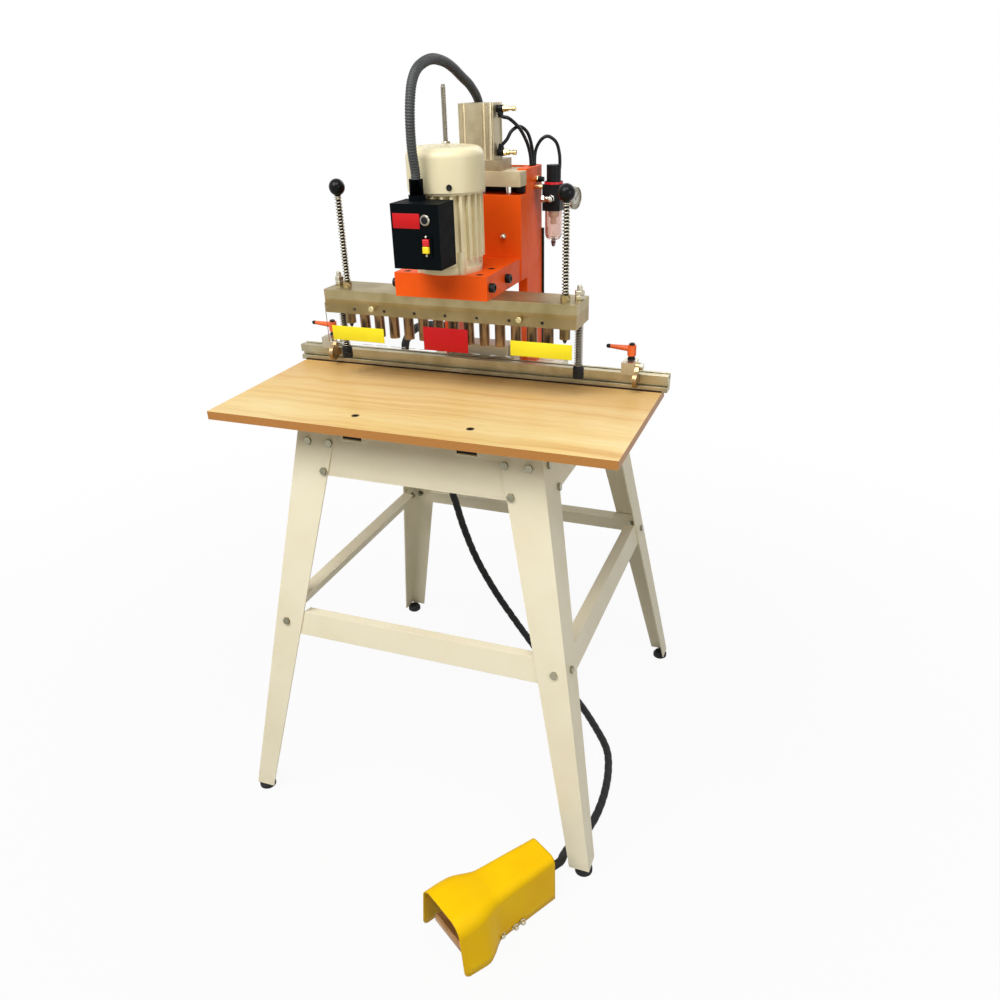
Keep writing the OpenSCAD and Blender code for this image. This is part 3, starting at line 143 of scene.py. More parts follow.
def metalFinish(name, base, shade, rough, along, stripe, metal=1):
    # bare metal: drawn or turned lines along one axis, drawn coarser than real so that they show
    material, tree, spot = startFinish(name)
    cloud = addNode(tree, "TexNoise", {"Scale": 22, "Detail": 4, "Vector": spot})
    tone = addNode(tree, "MapRange", {0: cloud, 1: 0.35, 2: 0.7, 3: 0, 4: 1})
    colour = addNode(tree, "Mix", {"data_type": "RGBA", 0: tone, 6: fromHex(base), 7: fromHex(shade)})
    long = [stripe * 0.02 if k == along else stripe for k in range(3)]
    drawn = addNode(tree, "Mapping", {"Scale": long, "Vector": spot})
    lines = addNode(tree, "TexNoise", {"Scale": 1, "Detail": 4, "Roughness": 0.65, "Vector": drawn})
    worn = addNode(tree, "MapRange", {0: lines, 1: 0.3, 2: 0.7, 3: rough - 0.08, 4: rough + 0.1})
    bump = addNode(tree, "Bump", {"Strength": 0.12, "Distance": 0.0003, "Height": lines})
    return closeFinish(material, {"Metallic": metal, "Base Color": colour.outputs[2], "Roughness": worn,
                                  "Normal": bump})


def plasticFinish(name, base, rough, grain, gloss=0.5):
    # moulded plastic or rubber: spark-eroded grain of about half a millimetre
    material, tree, spot = startFinish(name)
    cloud = addNode(tree, "TexNoise", {"Scale": 30, "Detail": 4, "Vector": spot})
    tone = addNode(tree, "MapRange", {0: cloud, 1: 0.4, 2: 0.75, 3: 0, 4: 0.5})
    light = [min(1, c * 1.8 + 0.006) for c in fromHex(base)[:3]] + [1]
    colour = addNode(tree, "Mix", {"data_type": "RGBA", 0: tone, 6: fromHex(base), 7: light})
    worn = addNode(tree, "MapRange", {0: cloud, 1: 0.3, 2: 0.7, 3: rough - 0.06, 4: rough + 0.08})
    fine = addNode(tree, "TexNoise", {"Scale": 1800, "Detail": 2, "Vector": spot})
    bump = addNode(tree, "Bump", {"Strength": grain, "Distance": 0.0003, "Height": fine})
    return closeFinish(material, {
        "IOR": 1.49, "Specular IOR Level": gloss, "Base Color": colour.outputs[2], "Roughness": worn,
        "Normal": bump})


def plywoodFinish(name):
    # clear-coated rotary-cut birch: broad wavy figure, fine pores, a brown cut edge with its plies
    material, tree, spot = startFinish(name)
    warp = addNode(tree, "TexNoise", {"Scale": 5, "Detail": 3, "Distortion": 0.4, "Vector": spot})
    wavy = addNode(tree, "VectorMath", {"operation": "MULTIPLY_ADD", 0: warp.outputs["Color"],
                                        1: (0.02, 0.045, 0), 2: spot})
    long = addNode(tree, "Mapping", {"Scale": (0.9, 32, 3), "Vector": wavy})
    figure = addNode(tree, "TexNoise", {"Scale": 1, "Detail": 5, "Roughness": 0.55, "Vector": long})
    ramp = addNode(tree, "ValToRGB", {0: figure})
    bands = ramp.color_ramp.elements
    bands.new(0.45)
    for band, at, tone in zip(bands, (0.28, 0.45, 0.68), ("c2924c", "d8b876", "dec88f")):
        band.position, band.color = at, fromHex(tone)
    blotch = addNode(tree, "TexNoise", {"Scale": 3.2, "Detail": 2, "Vector": spot})
    # depth towards the fence, which sets where the painted shade falls
    back = addNode(tree, "SeparateXYZ", {0: wavy}).outputs[1]
    pores = addNode(tree, "Mapping", {"Scale": (25, 900, 100), "Vector": wavy})
    pore = addNode(tree, "TexNoise", {"Scale": 1, "Detail": 2, "Vector": pores})
    top = ramp
    # pale blotches, then painted shade that darkens the wood towards the fence, then the pores
    for source, low, high, most, tone in ((blotch, 0.45, 0.7, 0.45, "e0cf9a"),
                                          (back, -0.04, 0.13, 0.55, "c4924e"),
                                          (pore, 0.52, 0.7, 0.24, "b08244")):
        share = addNode(tree, "MapRange", {0: source, 1: low, 2: high, 3: 0, 4: most})
        top = addNode(tree, "Mix", {"data_type": "RGBA", 0: share, 6: top, 7: fromHex(tone)}).outputs[2]
    plies = addNode(tree, "TexWave",
                    {"bands_direction": "Z", "Scale": 145, "Distortion": 0.3, "Vector": spot})
    edge = {"data_type": "RGBA", 0: plies, 6: fromHex("a36c35"), 7: fromHex("bd8547")}
    cut = addNode(tree, "Mix", edge).outputs[2]
    normal = addNode(tree, "NewGeometry").outputs["True Normal"]
    height = addNode(tree, "SeparateXYZ", {0: normal}).outputs[2]
    flat = addNode(tree, "Math", {"operation": "ABSOLUTE", 0: height})
    colour = addNode(tree, "Mix", {"data_type": "RGBA", 0: flat, 6: cut, 7: top})
    worn = addNode(tree, "MapRange", {0: pore, 1: 0.3, 2: 0.7, 3: 0.32, 4: 0.48})
    bump = addNode(tree, "Bump", {"Strength": 0.1, "Distance": 0.0003, "Height": pore})
    return closeFinish(material, {
        "IOR": 1.5, "Specular IOR Level": 0.16, "Coat Weight": 0.03, "Coat Roughness": 0.2,
        "Base Color": colour.outputs[2], "Roughness": worn, "Normal": bump})


def clearFinish(name, tint, rough, through, bend=1.49):
    # clear acrylic or polycarbonate with fine handling scratches
    material, tree, spot = startFinish(name)
    haze = addNode(tree, "TexNoise", {"Scale": 140, "Detail": 5, "Roughness": 0.7, "Vector": spot})
    worn = addNode(tree, "MapRange", {0: haze, 1: 0.4, 2: 0.8, 3: rough, 4: rough + 0.06})
    return closeFinish(material, {"IOR": bend, "Base Color": fromHex(tint), "Transmission Weight": through,
                                  "Roughness": worn})


paints = {  # finish, colour, shade, roughness, clear coat, gloss
    "creamPaint": ("creamPowderCoat", "e4dbc0", "dbcfae", 0.44, 0.04, 0.3),
    "motorEnamel": ("motorEnamel", "e3d8b2", "d6c89e", 0.4, 0.1, 0.35),
    "orangePaint": ("orangeEnamel", "f05c12", "e54c0a", 0.46, 0.0, 0.16),
    "yellowPaint": ("yellowPowderCoat", "edc005", "e5a902", 0.46, 0.0, 0.08),
    "blackPaint": ("blackCrackleEnamel", "04080a", "070c0e", 0.55, 0.0, 0.04),
    "yellowPlate": ("yellowPlate", "e9d92a", "dfcb20", 0.4, 0.0, 0.2),
    "redPlate": ("redPlate", "bd171b", "ae1116", 0.4, 0.0, 0.2),
    "dialPaint": ("whiteDialEnamel", "d9d6cc", "cbc7bb", 0.4, 0.1),
}
metals = {  # finish, colour, shade, roughness, axis of the lines, lines in a metre, share of metal
    "castAluminium": ("milledAluminium", "a08a5e", "877245", 0.4, 0, 700),
    "lidAluminium": ("brushedAluminium", "ab9c76", "92845c", 0.4, 0, 700),
    "fenceAluminium": ("anodisedAluminium", "b9b093", "9d9476", 0.38, 0, 700),
    "uprightAluminium": ("extrudedAluminium", "b9ac8d", "9a8d6e", 0.4, 2, 700, 0.8),
    "bracketAluminium": ("blastedAluminium", "cfc09e", "b8a884", 0.5, 0, 700, 0.35),
    "steel": ("turnedSteel", "a9a396", "8f897c", 0.3, 2, 900),
    "chuckSteel": ("oiledSteel", "9a7448", "6a4a28", 0.3, 2, 900),
    "boltZinc": ("dullZinc", "a5a28c", "77745f", 0.32, 2, 700),
    "treadSteel": ("oxidisedSteel", "c49a6a", "8f683e", 0.4, 0, 700, 0.6),
    "paddleSteel": ("groundSteel", "b59c7a", "8f7651", 0.34, 2, 900),
    "zinc": ("zincPlate", "cbc6b4", "b4ae9a", 0.32, 2, 600),
    "bronze": ("bearingBronze", "9c7645", "84602f", 0.35, 2, 600),
    "brass": ("paleBrass", "d9c894", "bfa76a", 0.26, 0, 600),
    "springSteel": ("springWire", "b3ae9f", "969080", 0.24, 2, 900),
    "yellowZinc": ("yellowPassivatedZinc", "d9cd9f", "bda86c", 0.26, 0, 700),
    "chrome": ("chromedSteel", "d6d4cd", "c2bfb6", 0.14, 2, 900),
}
plastics = {  # finish, colour, roughness, grain, gloss
    "blackPlastic": ("blackNylon", "0c0d0f", 0.42, 0.12, 0.18),
    "blackRubber": ("blackRubber", "0f0f0f", 0.62, 0.25, 0.3),
    # dark brown for the strip of painted shadow at the fence's foot
    "shadowStripDark": ("shadowStripBrown", "2a1508", 0.6, 0.2, 0.25),
    "blackSteel": ("blackenedSteel", "0d0e10", 0.38, 0.1, 0.2),
    "redPlastic": ("redAbs", "c4151f", 0.32, 0.06),
    "yellowPlastic": ("yellowAbs", "f0c51a", 0.34, 0.06),
    "orangePlastic": ("orangeNylon", "dd5a20", 0.38, 0.1),
    "conduitCoat": ("pvcCoatedConduit", "303231", 0.42, 0.1, 0.35),
    "knobPlastic": ("phenolicKnob", "08090a", 0.2, 0.02, 0.14),
    "airTube": ("blackPolyurethane", "0a0b0d", 0.24, 0.02, 0.2),
    "amberPlastic": ("sinteredFilter", "d3ab66", 0.5, 0.2),
    "brownPlastic": ("drainNylon", "5c2a26", 0.4, 0.1),
}
finish = {}
for make, rows in ((paintFinish, paints), (metalFinish, metals), (plasticFinish, plastics)):
    finish.update({coat: make(*row) for coat, row in rows.items()})
finish["plywood"] = plywoodFinish("birchPlywood")
finish["clearSheet"] = clearFinish("clearAcrylic", "fafbfa", 0.0, 1.0, 1.18)
finish["bowlPlastic"] = clearFinish("clearBowl", "efd9d0", 0.05, 0.9)
nodeFinish = {
    "creamPaint": ["stand_legs", "stand_rails", "base_frame"],
    "motorEnamel": ["motor_body", "fan_cover"],
    "orangePaint": ["column", "carriage", "motor_saddle"],
    "yellowPaint": ["pedal_cover"],
    "blackPaint": ["switch_box"],
    "plywood": ["table_top"],
    "castAluminium": ["gear_case"],
    "lidAluminium": ["gear_case_lid"],
    "fenceAluminium": ["fence_rail"],
    "uprightAluminium": ["cylinder_barrel"],
    "bracketAluminium": ["cylinder_bracket"],
    "steel": ["lift_rods", "index_pin_left", "index_pin_right", "hold_down_left", "hold_down_right",
              "index_spring_left", "index_spring_right", "hold_down_spring_left", "hold_down_spring_right"],
    "chuckSteel": ["spindle_%02d" % i for i in range(1, 14)],
    "paddleSteel": ["stop_paddle_left", "stop_paddle_right"],
    "boltZinc": ["stand_bolts"],
    "treadSteel": ["pedal_tread"],
    "zinc": ["stop_block_left", "stop_block_right", "pressure_gauge"],
    "bronze": ["spindle_bushes"],
    "blackPlastic": ["fittings", "air_lines", "regulator_body", "regulator_knob", "conduit"],
    "blackRubber": ["levelling_feet", "foot_hose"],
    "blackSteel": ["head_bolts", "pedal_base"],
    "redPlastic": ["switch_rocker"],
    "orangePlastic": ["stop_lever_left", "stop_lever_right"],
    "clearSheet": ["spindle_guard"],
    "bowlPlastic": ["filter_bowl"],
}
for coat, group in nodeFinish.items():
    for node in group:
        nodes[node].data.materials.clear()
        nodes[node].data.materials.append(finish[coat])
print("finishes set on", sum(len(g) for g in nodeFinish.values()), "CAD nodes")

# edges broken on the CAD nodes that stay, in millimetres: sheet and milled metal, castings, the switch box
edgeBreak = {
    0.6: ["stand_legs", "stand_rails", "cylinder_bracket", "cylinder_barrel", "gear_case", "gear_case_lid",
          "fence_rail", "regulator_body", "stop_block_left", "stop_block_right"],
    1.2: ["base_frame", "column", "carriage", "motor_saddle", "motor_body"],
    2.0: ["switch_box"]}
for width, group in edgeBreak.items():
    for node in group:
        weld = nodes[node].modifiers.new("weld", "WELD")
        weld.merge_threshold = 1e-6
        bevel = nodes[node].modifiers.new("edgeBreak", "BEVEL")
        bevel.width, bevel.segments = width * mm, 2
        bevel.limit_method, bevel.angle_limit = "ANGLE", math.radians(50)
        bevel.use_clamp_overlap, bevel.harden_normals = True, True
print("edges broken on", sum(len(g) for g in edgeBreak.values()), "CAD nodes")


# mesh helpers; a template that is only repeated has no finish of its own
def meshPiece(name, points, faces, coat, smooth=True):
    mesh = bpy.data.meshes.new(name)
    mesh.from_pydata([tuple(p) for p in points], [], faces)
    mesh.materials.append(finish.get(coat))
    for polygon in mesh.polygons:
        polygon.use_smooth = smooth
    return linkObject(name, mesh)


def finishPiece(piece, body, stands=(), move=None):
    if move is not None:
        piece.data.transform(move)
    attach(piece, body)
    if stands:
        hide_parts(*stands)


def smoothRoute(points, steps):
    route = []
    last = len(points) - 1
    for i in range(last):
        a, b, c, d = points[max(i - 1, 0)], points[i], points[i + 1], points[min(i + 2, last)]
        for k in range(steps):
            t = k / steps
            route.append(0.5 * (2 * b + (c - a) * t + (2 * a - 5 * b + 4 * c - d) * t * t
                                + (3 * b - a - 3 * c + d) * t * t * t))
    return route + [points[-1]]


def evenRoute(points, step):
    lengths = [0]
    for a, b in zip(points, points[1:]):
        lengths.append(lengths[-1] + (b - a).length)
    count = max(2, round(lengths[-1] / step))
    route, i = [], 0
    for j in range(count + 1):
        s = lengths[-1] * j / count
        while i < len(points) - 2 and lengths[i + 1] < s:
            i += 1
        t = (s - lengths[i]) / (lengths[i + 1] - lengths[i])
        route.append(points[i].lerp(points[i + 1], t))
    return route, lengths[-1]


def sweep(name, route, radius, sides, first, coat):
    points, faces, across = [], [], Vector(first)
    last = len(route) - 1
    for i, centre in enumerate(route):
        tangent = (route[min(i + 1, last)] - route[max(i - 1, 0)]).normalized()
        across = (across - tangent * across.dot(tangent)).normalized()
        over = tangent.cross(across)
        for k in range(sides):
            angle = 2 * math.pi * k / sides
            r = radius(i, angle) if callable(radius) else radius
            points.append(centre + (across * math.cos(angle) + over * math.sin(angle)) * r)
    for i in range(last):
        for k in range(sides):
            j = (k + 1) % sides
            faces.append((i * sides + k, i * sides + j, (i + 1) * sides + j, (i + 1) * sides + k))
    faces.append(tuple(range(sides - 1, -1, -1)))
    faces.append(tuple(last * sides + k for k in range(sides)))
    return meshPiece(name, points, faces, coat)


# foot hose in a black spiral wrap, from the column's gland down to the pedal
hoseWrap = {"diameter": 18, "turn": 26, "band": 0.8, "groove": 1.1, "crown": 0.15, "step": 3.2, "sides": 20,
            "clear": 0.3}
hoseRoute = [
    (-102.3, 190, 952), (-106, 190, 952), (-110, 190, 952), (-146, 190, 951), (-176, 189, 942),
    (-197, 186, 920), (-205, 184, 888), (-203, 187, 840), (-193, 199, 775), (-177, 216, 700),
    (-160, 233, 620), (-144, 245, 550), (-130, 250, 490), (-112, 252, 420), (-80, 252, 335), (-33, 251, 250),
    (15, 250, 180), (63, 248, 116), (108, 240, 64), (152, 222, 28), (194, 193, 13), (233, 158, 9.5),
    (290, 88, 9.5), (336, 20, 9.5), (358, -50, 9.5), (368, -130, 9.5), (366, -205, 10), (354, -270, 16),
    (339, -320, 28)]
pedalSpot = {"x": 313, "y": -401, "turn": math.radians(33), "hoseZ": 40, "hoseBack": (44, 30, 14)}


def pedalPlace(x, y, z):  # a spot counted from the middle of the pedal's back end, its toe towards -Y
    turn = pedalSpot["turn"]
    return place(pedalSpot["x"] + x * math.cos(turn) + y * math.sin(turn),
                 pedalSpot["y"] - x * math.sin(turn) + y * math.cos(turn), z)


def makeHose(h):
    ends = [pedalPlace(0, back, pedalSpot["hoseZ"]) for back in pedalSpot["hoseBack"]]
    line = smoothRoute([place(*p) for p in hoseRoute] + ends, 8)
    lowest = (h["diameter"] / 2 + h["clear"]) * mm  # never into the floor
    line = [Vector((p.x, p.y, max(p.z, lowest))) for p in line]
    route, length = evenRoute(line, h["step"] * mm)
    step = length / (len(route) - 1)

    def wrapRadius(i, angle):
        turn = (i * step / (h["turn"] * mm) + angle / (2 * math.pi)) % 1
        crown = h["crown"] * math.cos(math.pi * turn / h["band"]) ** 2
        return (h["diameter"] / 2 - (h["groove"] if turn > h["band"] else crown)) * mm

    hose = sweep("footHose", route, wrapRadius, h["sides"], (0, 0.2, 1), "blackRubber")
    finishPiece(hose, "stand", ["foot_hose"])
    print("foot hose", round(length, 3), "m")


makeHose(hoseWrap)


# ribbed conduit: black coated steel strip, a rib every 4.4 mm
conduitHose = {"diameter": 17, "rib": 4.4, "depth": 1.2, "heights": (0, 0.8, 1, 0.8), "sides": 22}
conduitRoute = [
    (-17, -88, 1263.3), (-17, -88, 1275), (-17, -88, 1287), (-18, -93, 1320), (-18, -93, 1359),
    (-18, -87, 1393), (-18, -74, 1421), (-18, -48, 1440), (-18, 0, 1451), (-18, 48, 1449), (-18, 90, 1440),
    (-18, 134, 1424), (-20, 182, 1407), (-23, 226, 1378), (-27, 246, 1321), (-30, 254, 1268),
    (-30, 254, 1253), (-30, 254, 1238.3)]


def makeConduit(c):
    heights = c["heights"]
    line = smoothRoute([place(*p) for p in conduitRoute], 12)
    route = evenRoute(line, c["rib"] / len(heights) * mm)[0]

    def ribRadius(i, angle):
        return (c["diameter"] / 2 - c["depth"] * (1 - heights[i % len(heights)])) * mm

    conduit = sweep("conduitHose", route, ribRadius, c["sides"], (1, 0, 0), "conduitCoat")
    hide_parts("conduit")
    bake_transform(conduit)


makeConduit(conduitHose)


# springs of bright wire with closed ends, the index pins above the gear case and the hold-downs below it
springs = {
    "indexSpring": {"x": 224, "y": 0, "low": 1078.3, "high": 1234.0, "radius": 5.6, "wire": 2.6, "curls": 28,
                    "still": "low", "body": "index_pin_%s", "node": "index_spring_%s"},
    "holdSpring": {"x": 248, "y": 11, "low": 945.3, "high": 1024.7, "radius": 7.3, "wire": 1.8, "curls": 17,
                   "still": "high", "body": "hold_down_%s", "node": "hold_down_spring_%s"}}


def makeSpring(name, s, side, x):
    around, turns, r = 22, s["curls"], s["radius"]
    low, high = s["low"] + s["wire"] / 2, s["high"] - s["wire"] / 2
    dead = s["wire"] * 1.04  # rise of a closed curl
    lift = (high - low - 2 * dead) / (turns - 2)
    route = []
    for i in range(turns * around + 1):
        t = i / around
        climb = dead * t if t < 1 else dead + lift * (t - 1)
        z = low + climb if t < turns - 1 else high - dead * (turns - t)
        angle = 2 * math.pi * t
        route.append(place(x + r * math.cos(angle), s["y"] + r * math.sin(angle), z))
    spring = sweep(name + side.capitalize(), route, s["wire"] / 2 * mm, 8, (1, 0.1, 0), "springSteel")
    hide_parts(s["node"] % side)
    ends = [tuple(place(x, s["y"], s[end])) for end in ("low", "high")]
    if s["still"] == "high":
        ends.reverse()
    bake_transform(spring)


for name, s in springs.items():
    for side, sign in bothSides:
        makeSpring(name, s, side, sign * s["x"])
print("conduit and springs made")


# turned pieces: a profile of radius, place along the axis and, on a hexagon, the number of flats
def lathe(name, centre, profile, coat, sides=36, axis="z", closed=False):
    points, faces = [], []
    count = len(profile)
    for r, along, *flats in profile:
        for k in range(sides):
            angle = 2 * math.pi * k / sides
            part = math.pi / flats[0] if flats else 0
            reach = r * math.cos(part) / math.cos(angle % (2 * part) - part) if flats else r
            a, b = reach * math.cos(angle), reach * math.sin(angle)
            spot = {"x": (along, a, b), "y": (b, along, a), "z": (a, b, along)}[axis]
            points.append(centre + Vector(spot) * mm)
    for i in range(count if closed else count - 1):
        for k in range(sides):
            j = (k + 1) % sides
            n = (i + 1) % count
            faces.append((i * sides + k, i * sides + j, n * sides + j, n * sides + k))
    if profile[0][0] > 0 and not closed:
        faces.append(tuple(range(sides - 1, -1, -1)))
    if profile[-1][0] > 0 and not closed:
        faces.append(tuple((count - 1) * sides + k for k in range(sides)))
    piece = meshPiece(name, points, faces, coat, sides > 6)
    work = bmesh.new()
    work.from_mesh(piece.data)
    bmesh.ops.remove_doubles(work, verts=work.verts, dist=1e-6)
    bmesh.ops.dissolve_degenerate(work, edges=work.edges, dist=1e-7)
    bmesh.ops.recalc_face_normals(work, faces=work.faces)
    work.to_mesh(piece.data)
    work.free()
    piece.data.set_sharp_from_angle(angle=math.radians(35))
    return piece


def turnPiece(name, spot, profile, coat, body, stands=(), sides=36, axis="z", closed=False, move=None):
    finishPiece(lathe(name, spot, profile, coat, sides, axis, closed), body, stands, move)


def barrel(r, low, high, edge, *flats):  # a cylinder or hexagon whose two ends are rounded off
    arc = [math.radians(a) for a in (0, 30, 60, 90)]
    return ([(r - edge + edge * math.sin(a), low + edge - edge * math.cos(a), *flats) for a in arc]
            + [(r - edge + edge * math.cos(a), high - edge + edge * math.sin(a), *flats) for a in arc])


# what repeats: one template on a list of spots, each with its own turn
def makeRepeat():
    tree = bpy.data.node_groups.new("repeatOnSpots", "GeometryNodeTree")
    for label, kind in (("Spots", "Geometry"), ("Piece", "Object"), ("Finish", "Material"),
                        ("Size", "Float")):
        tree.interface.new_socket(label, in_out="INPUT", socket_type="NodeSocket" + kind)
    tree.interface.new_socket("Result", in_out="OUTPUT", socket_type="NodeSocketGeometry")
    start = addNode(tree, "NodeGroupInput").outputs
    turn = addNode(tree, "GeometryNodeInputNamedAttribute", {"data_type": "FLOAT_VECTOR", "Name": "turn"})
    turned = addNode(tree, "FunctionNodeEulerToRotation", {0: turn})
    piece = addNode(tree, "GeometryNodeObjectInfo", {"Object": start["Piece"]})
    placed = addNode(tree, "GeometryNodeInstanceOnPoints", {
        "Points": start["Spots"], "Instance": piece.outputs["Geometry"], "Rotation": turned,
        "Scale": start["Size"]})
    real = addNode(tree, "GeometryNodeRealizeInstances", {0: placed})
    dressed = addNode(tree, "GeometryNodeSetMaterial", {"Geometry": real, "Material": start["Finish"]})
    addNode(tree, "NodeGroupOutput", {0: dressed})
    return tree


repeatNodes = makeRepeat()


def repeatPiece(name, template, spots, coat, body, stands=(), size=1.0, move=None):
    mesh = bpy.data.meshes.new(name + "Spots")
    mesh.from_pydata([tuple(spot) for spot, turn in spots], [], [])
    turns = mesh.attributes.new("turn", "FLOAT_VECTOR", "POINT")
    for i, (spot, turn) in enumerate(spots):
        turns.data[i].vector = turn
    base = linkObject(name + "Spots", mesh)
    modifier = base.modifiers.new("repeat", "NODES")
    modifier.node_group = repeatNodes
    values = {"Piece": template, "Finish": finish[coat], "Size": size}
    for item in repeatNodes.interface.items_tree:
        if item.in_out == "INPUT" and item.name in values:
            modifier[item.identifier] = values[item.name]
    whole = base.evaluated_get(bpy.context.evaluated_depsgraph_get())
    piece = linkObject(name, bpy.data.meshes.new_from_object(whole))
    base.modifiers.remove(modifier)
    bpy.data.objects.remove(base)
    bpy.data.objects.remove(template)
    finishPiece(piece, body, stands, move)


atOrigin = Vector((0, 0, 0))
facing = {"right": (0, 0, 0), "left": (0, 0, math.pi), "up": (0, -math.pi / 2, 0),
          "front": (0, 0, -math.pi / 2)}


# index pins with their ball knobs, and hold-downs with rubber feet and two nuts each
indexPin = {"x": 224, "tip": 990, "ball": 1249, "ballD": 30, "rod": 8, "neck": 13}
holdDown = {"x": 248, "y": 11, "pad": 922, "padH": 23, "padD": 21, "rod": 10, "top": 1094, "nut": 1069.3,
            "nutH": 8, "nutAcross": 16}


def ballProfile(radius, centre, neck, steps=16):
    start = math.asin(neck / 2 / radius)
    arc = [math.pi - start - (math.pi - start) * i / steps for i in range(steps + 1)]
    return [(radius * math.sin(a), centre + radius * math.cos(a)) for a in arc]


def makePins(p, h):
    for side, sign in bothSides:
        label = side.capitalize()
        body = "index_pin_" + side
        spot = place(sign * p["x"], 0, 0)
        r, neck, low = p["rod"] / 2, p["neck"] / 2, p["ball"] - p["ballD"] / 2
        rod = [(r - 2, p["tip"]), (r, p["tip"] + 4), (r, p["ball"] - 8)]
        turnPiece("indexRod" + label, spot, rod, "blackSteel", body, [body], 28)
        ball = [(neck - 1, low), (neck, low + 0.6)] + ballProfile(p["ballD"] / 2, p["ball"], p["neck"])
        turnPiece("indexKnob" + label, spot, ball, "knobPlastic", body, [body], 48)
        body = "hold_down_" + side
        spot = place(sign * h["x"], h["y"], 0)
        r, wide, low, tall = h["rod"] / 2, h["padD"] / 2, h["pad"], h["padH"]
        rod = [(r, low + tall - 4), (r, h["nut"])]
        turnPiece("holdRod" + label, spot, rod, "blackSteel", body, [body], 28)
        thread = [(r, h["nut"] - 2), (r, h["top"] - 1.5), (r - 1.5, h["top"])]
        turnPiece("holdThread" + label, spot, thread, "zinc", body, [body], 28)
        foot = [(wide - 2.5, low), (wide - 0.6, low + 0.8), (wide, low + 2.4), (wide, low + tall * 0.55),
                (wide - 0.9, low + tall * 0.58), (wide - 0.9, low + tall * 0.64), (wide, low + tall * 0.67),
                (wide, low + tall - 2), (wide - 1.2, low + tall - 0.5), (wide - 2.5, low + tall)]
        turnPiece("holdFoot" + label, spot, foot, "blackRubber", body, [body], 40)
        across = h["nutAcross"] / 2 / math.cos(math.pi / 6)
        for k in range(2):
            low, high = h["nut"] + k * h["nutH"], h["nut"] + (k + 1) * h["nutH"]
            nut = [(across * 0.9, low), (across, low + 0.9), (across, high - 1.1), (across * 0.9, high - 0.2)]
            turnPiece("holdNut%d%s" % (k + 1, label), spot, nut, "zinc", body, sides=6)


makePins(indexPin, holdDown)
print("pins and hold-downs made")


# flat plates and boxes with rounded edges
def roundedBox(name, low, high, edge, coat, steps=3):
    work = bmesh.new()
    bmesh.ops.create_cube(work, size=1)
    for v in work.verts:
        v.co = Vector([(low[k] if v.co[k] < 0 else high[k]) for k in range(3)])
    bmesh.ops.bevel(work, geom=work.edges[:], offset=edge * mm, segments=steps, profile=0.5, affect="EDGES",
                    clamp_overlap=True)
    mesh = bpy.data.meshes.new(name)
    work.to_mesh(mesh)
    work.free()
    mesh.materials.append(finish.get(coat))
    for polygon in mesh.polygons:
        polygon.use_smooth = True
    mesh.set_sharp_from_angle(angle=math.radians(50))
    return linkObject(name, mesh)


def boxPiece(name, x, y, z, edge, coat, body, stands=(), steps=3):
    box = roundedBox(name, place(x[0], y[0], z[0]), place(x[1], y[1], z[1]), edge, coat, steps)
    finishPiece(box, body, stands)


# plain coloured plates on the guard and the switch box: spans in X, Y and Z, finish, slot
colourPlates = {
    "guardPlateLeft": ((-245, -131), (-41.3, -40.3), (973, 1001), "yellowPlate", "yellow_paint"),
    "guardPlateRight": ((131, 250), (-41.3, -40.3), (971, 999), "yellowPlate", "yellow_paint"),
    "guardPlateMiddle": ((-46, 46), (-41.3, -40.3), (967.5, 1012), "redPlate", "red_plastic"),
    "boxPlate": ((-41, 9), (-138.8, -138), (1203, 1227), "redPlate", "red_plastic")}
for name, (x, y, z, coat, slot) in colourPlates.items():
    boxPiece(name, x, y, z, 0.35, coat, "head", steps=2)
print("plates made")


# cap screws with hexagon sockets, turned to face +X in the template
capScrew = {"head": 8.3, "tall": 10, "socket": 4.8, "deep": 5, "sideX": 92, "sideY": (-36, 48),
            "sideZ": 1090.5, "topX": 72, "topY": (-34, 24), "topZ": 1102.4, "topSize": 0.92}
thumbScrew = {"x": 150, "y": -40.6, "z": 1039, "head": 5.5, "tall": 9}
setScrew = {"first": -192, "step": 64, "count": 7, "y": -34.2, "z": 1034, "head": 2.9, "tall": 2.2,
            "socket": 1.5, "deep": 1.4}
greaseNipple = {"x": 58, "y": 132, "z": 1152, "across": 6, "tall": 10}


def screwTemplate(s):
    head, tall, socket, deep = (s[k] for k in ("head", "tall", "socket", "deep"))
    profile = [(head - 0.7, 0), (head, 0.6), (head, tall - 0.9), (head - 0.9, tall), (socket + 0.3, tall),
               (socket, tall - 0.3, 6), (socket, tall - deep, 6), (0, tall - deep - 0.6)]
    return lathe("screwTemplate", atOrigin, profile, None, axis="x")


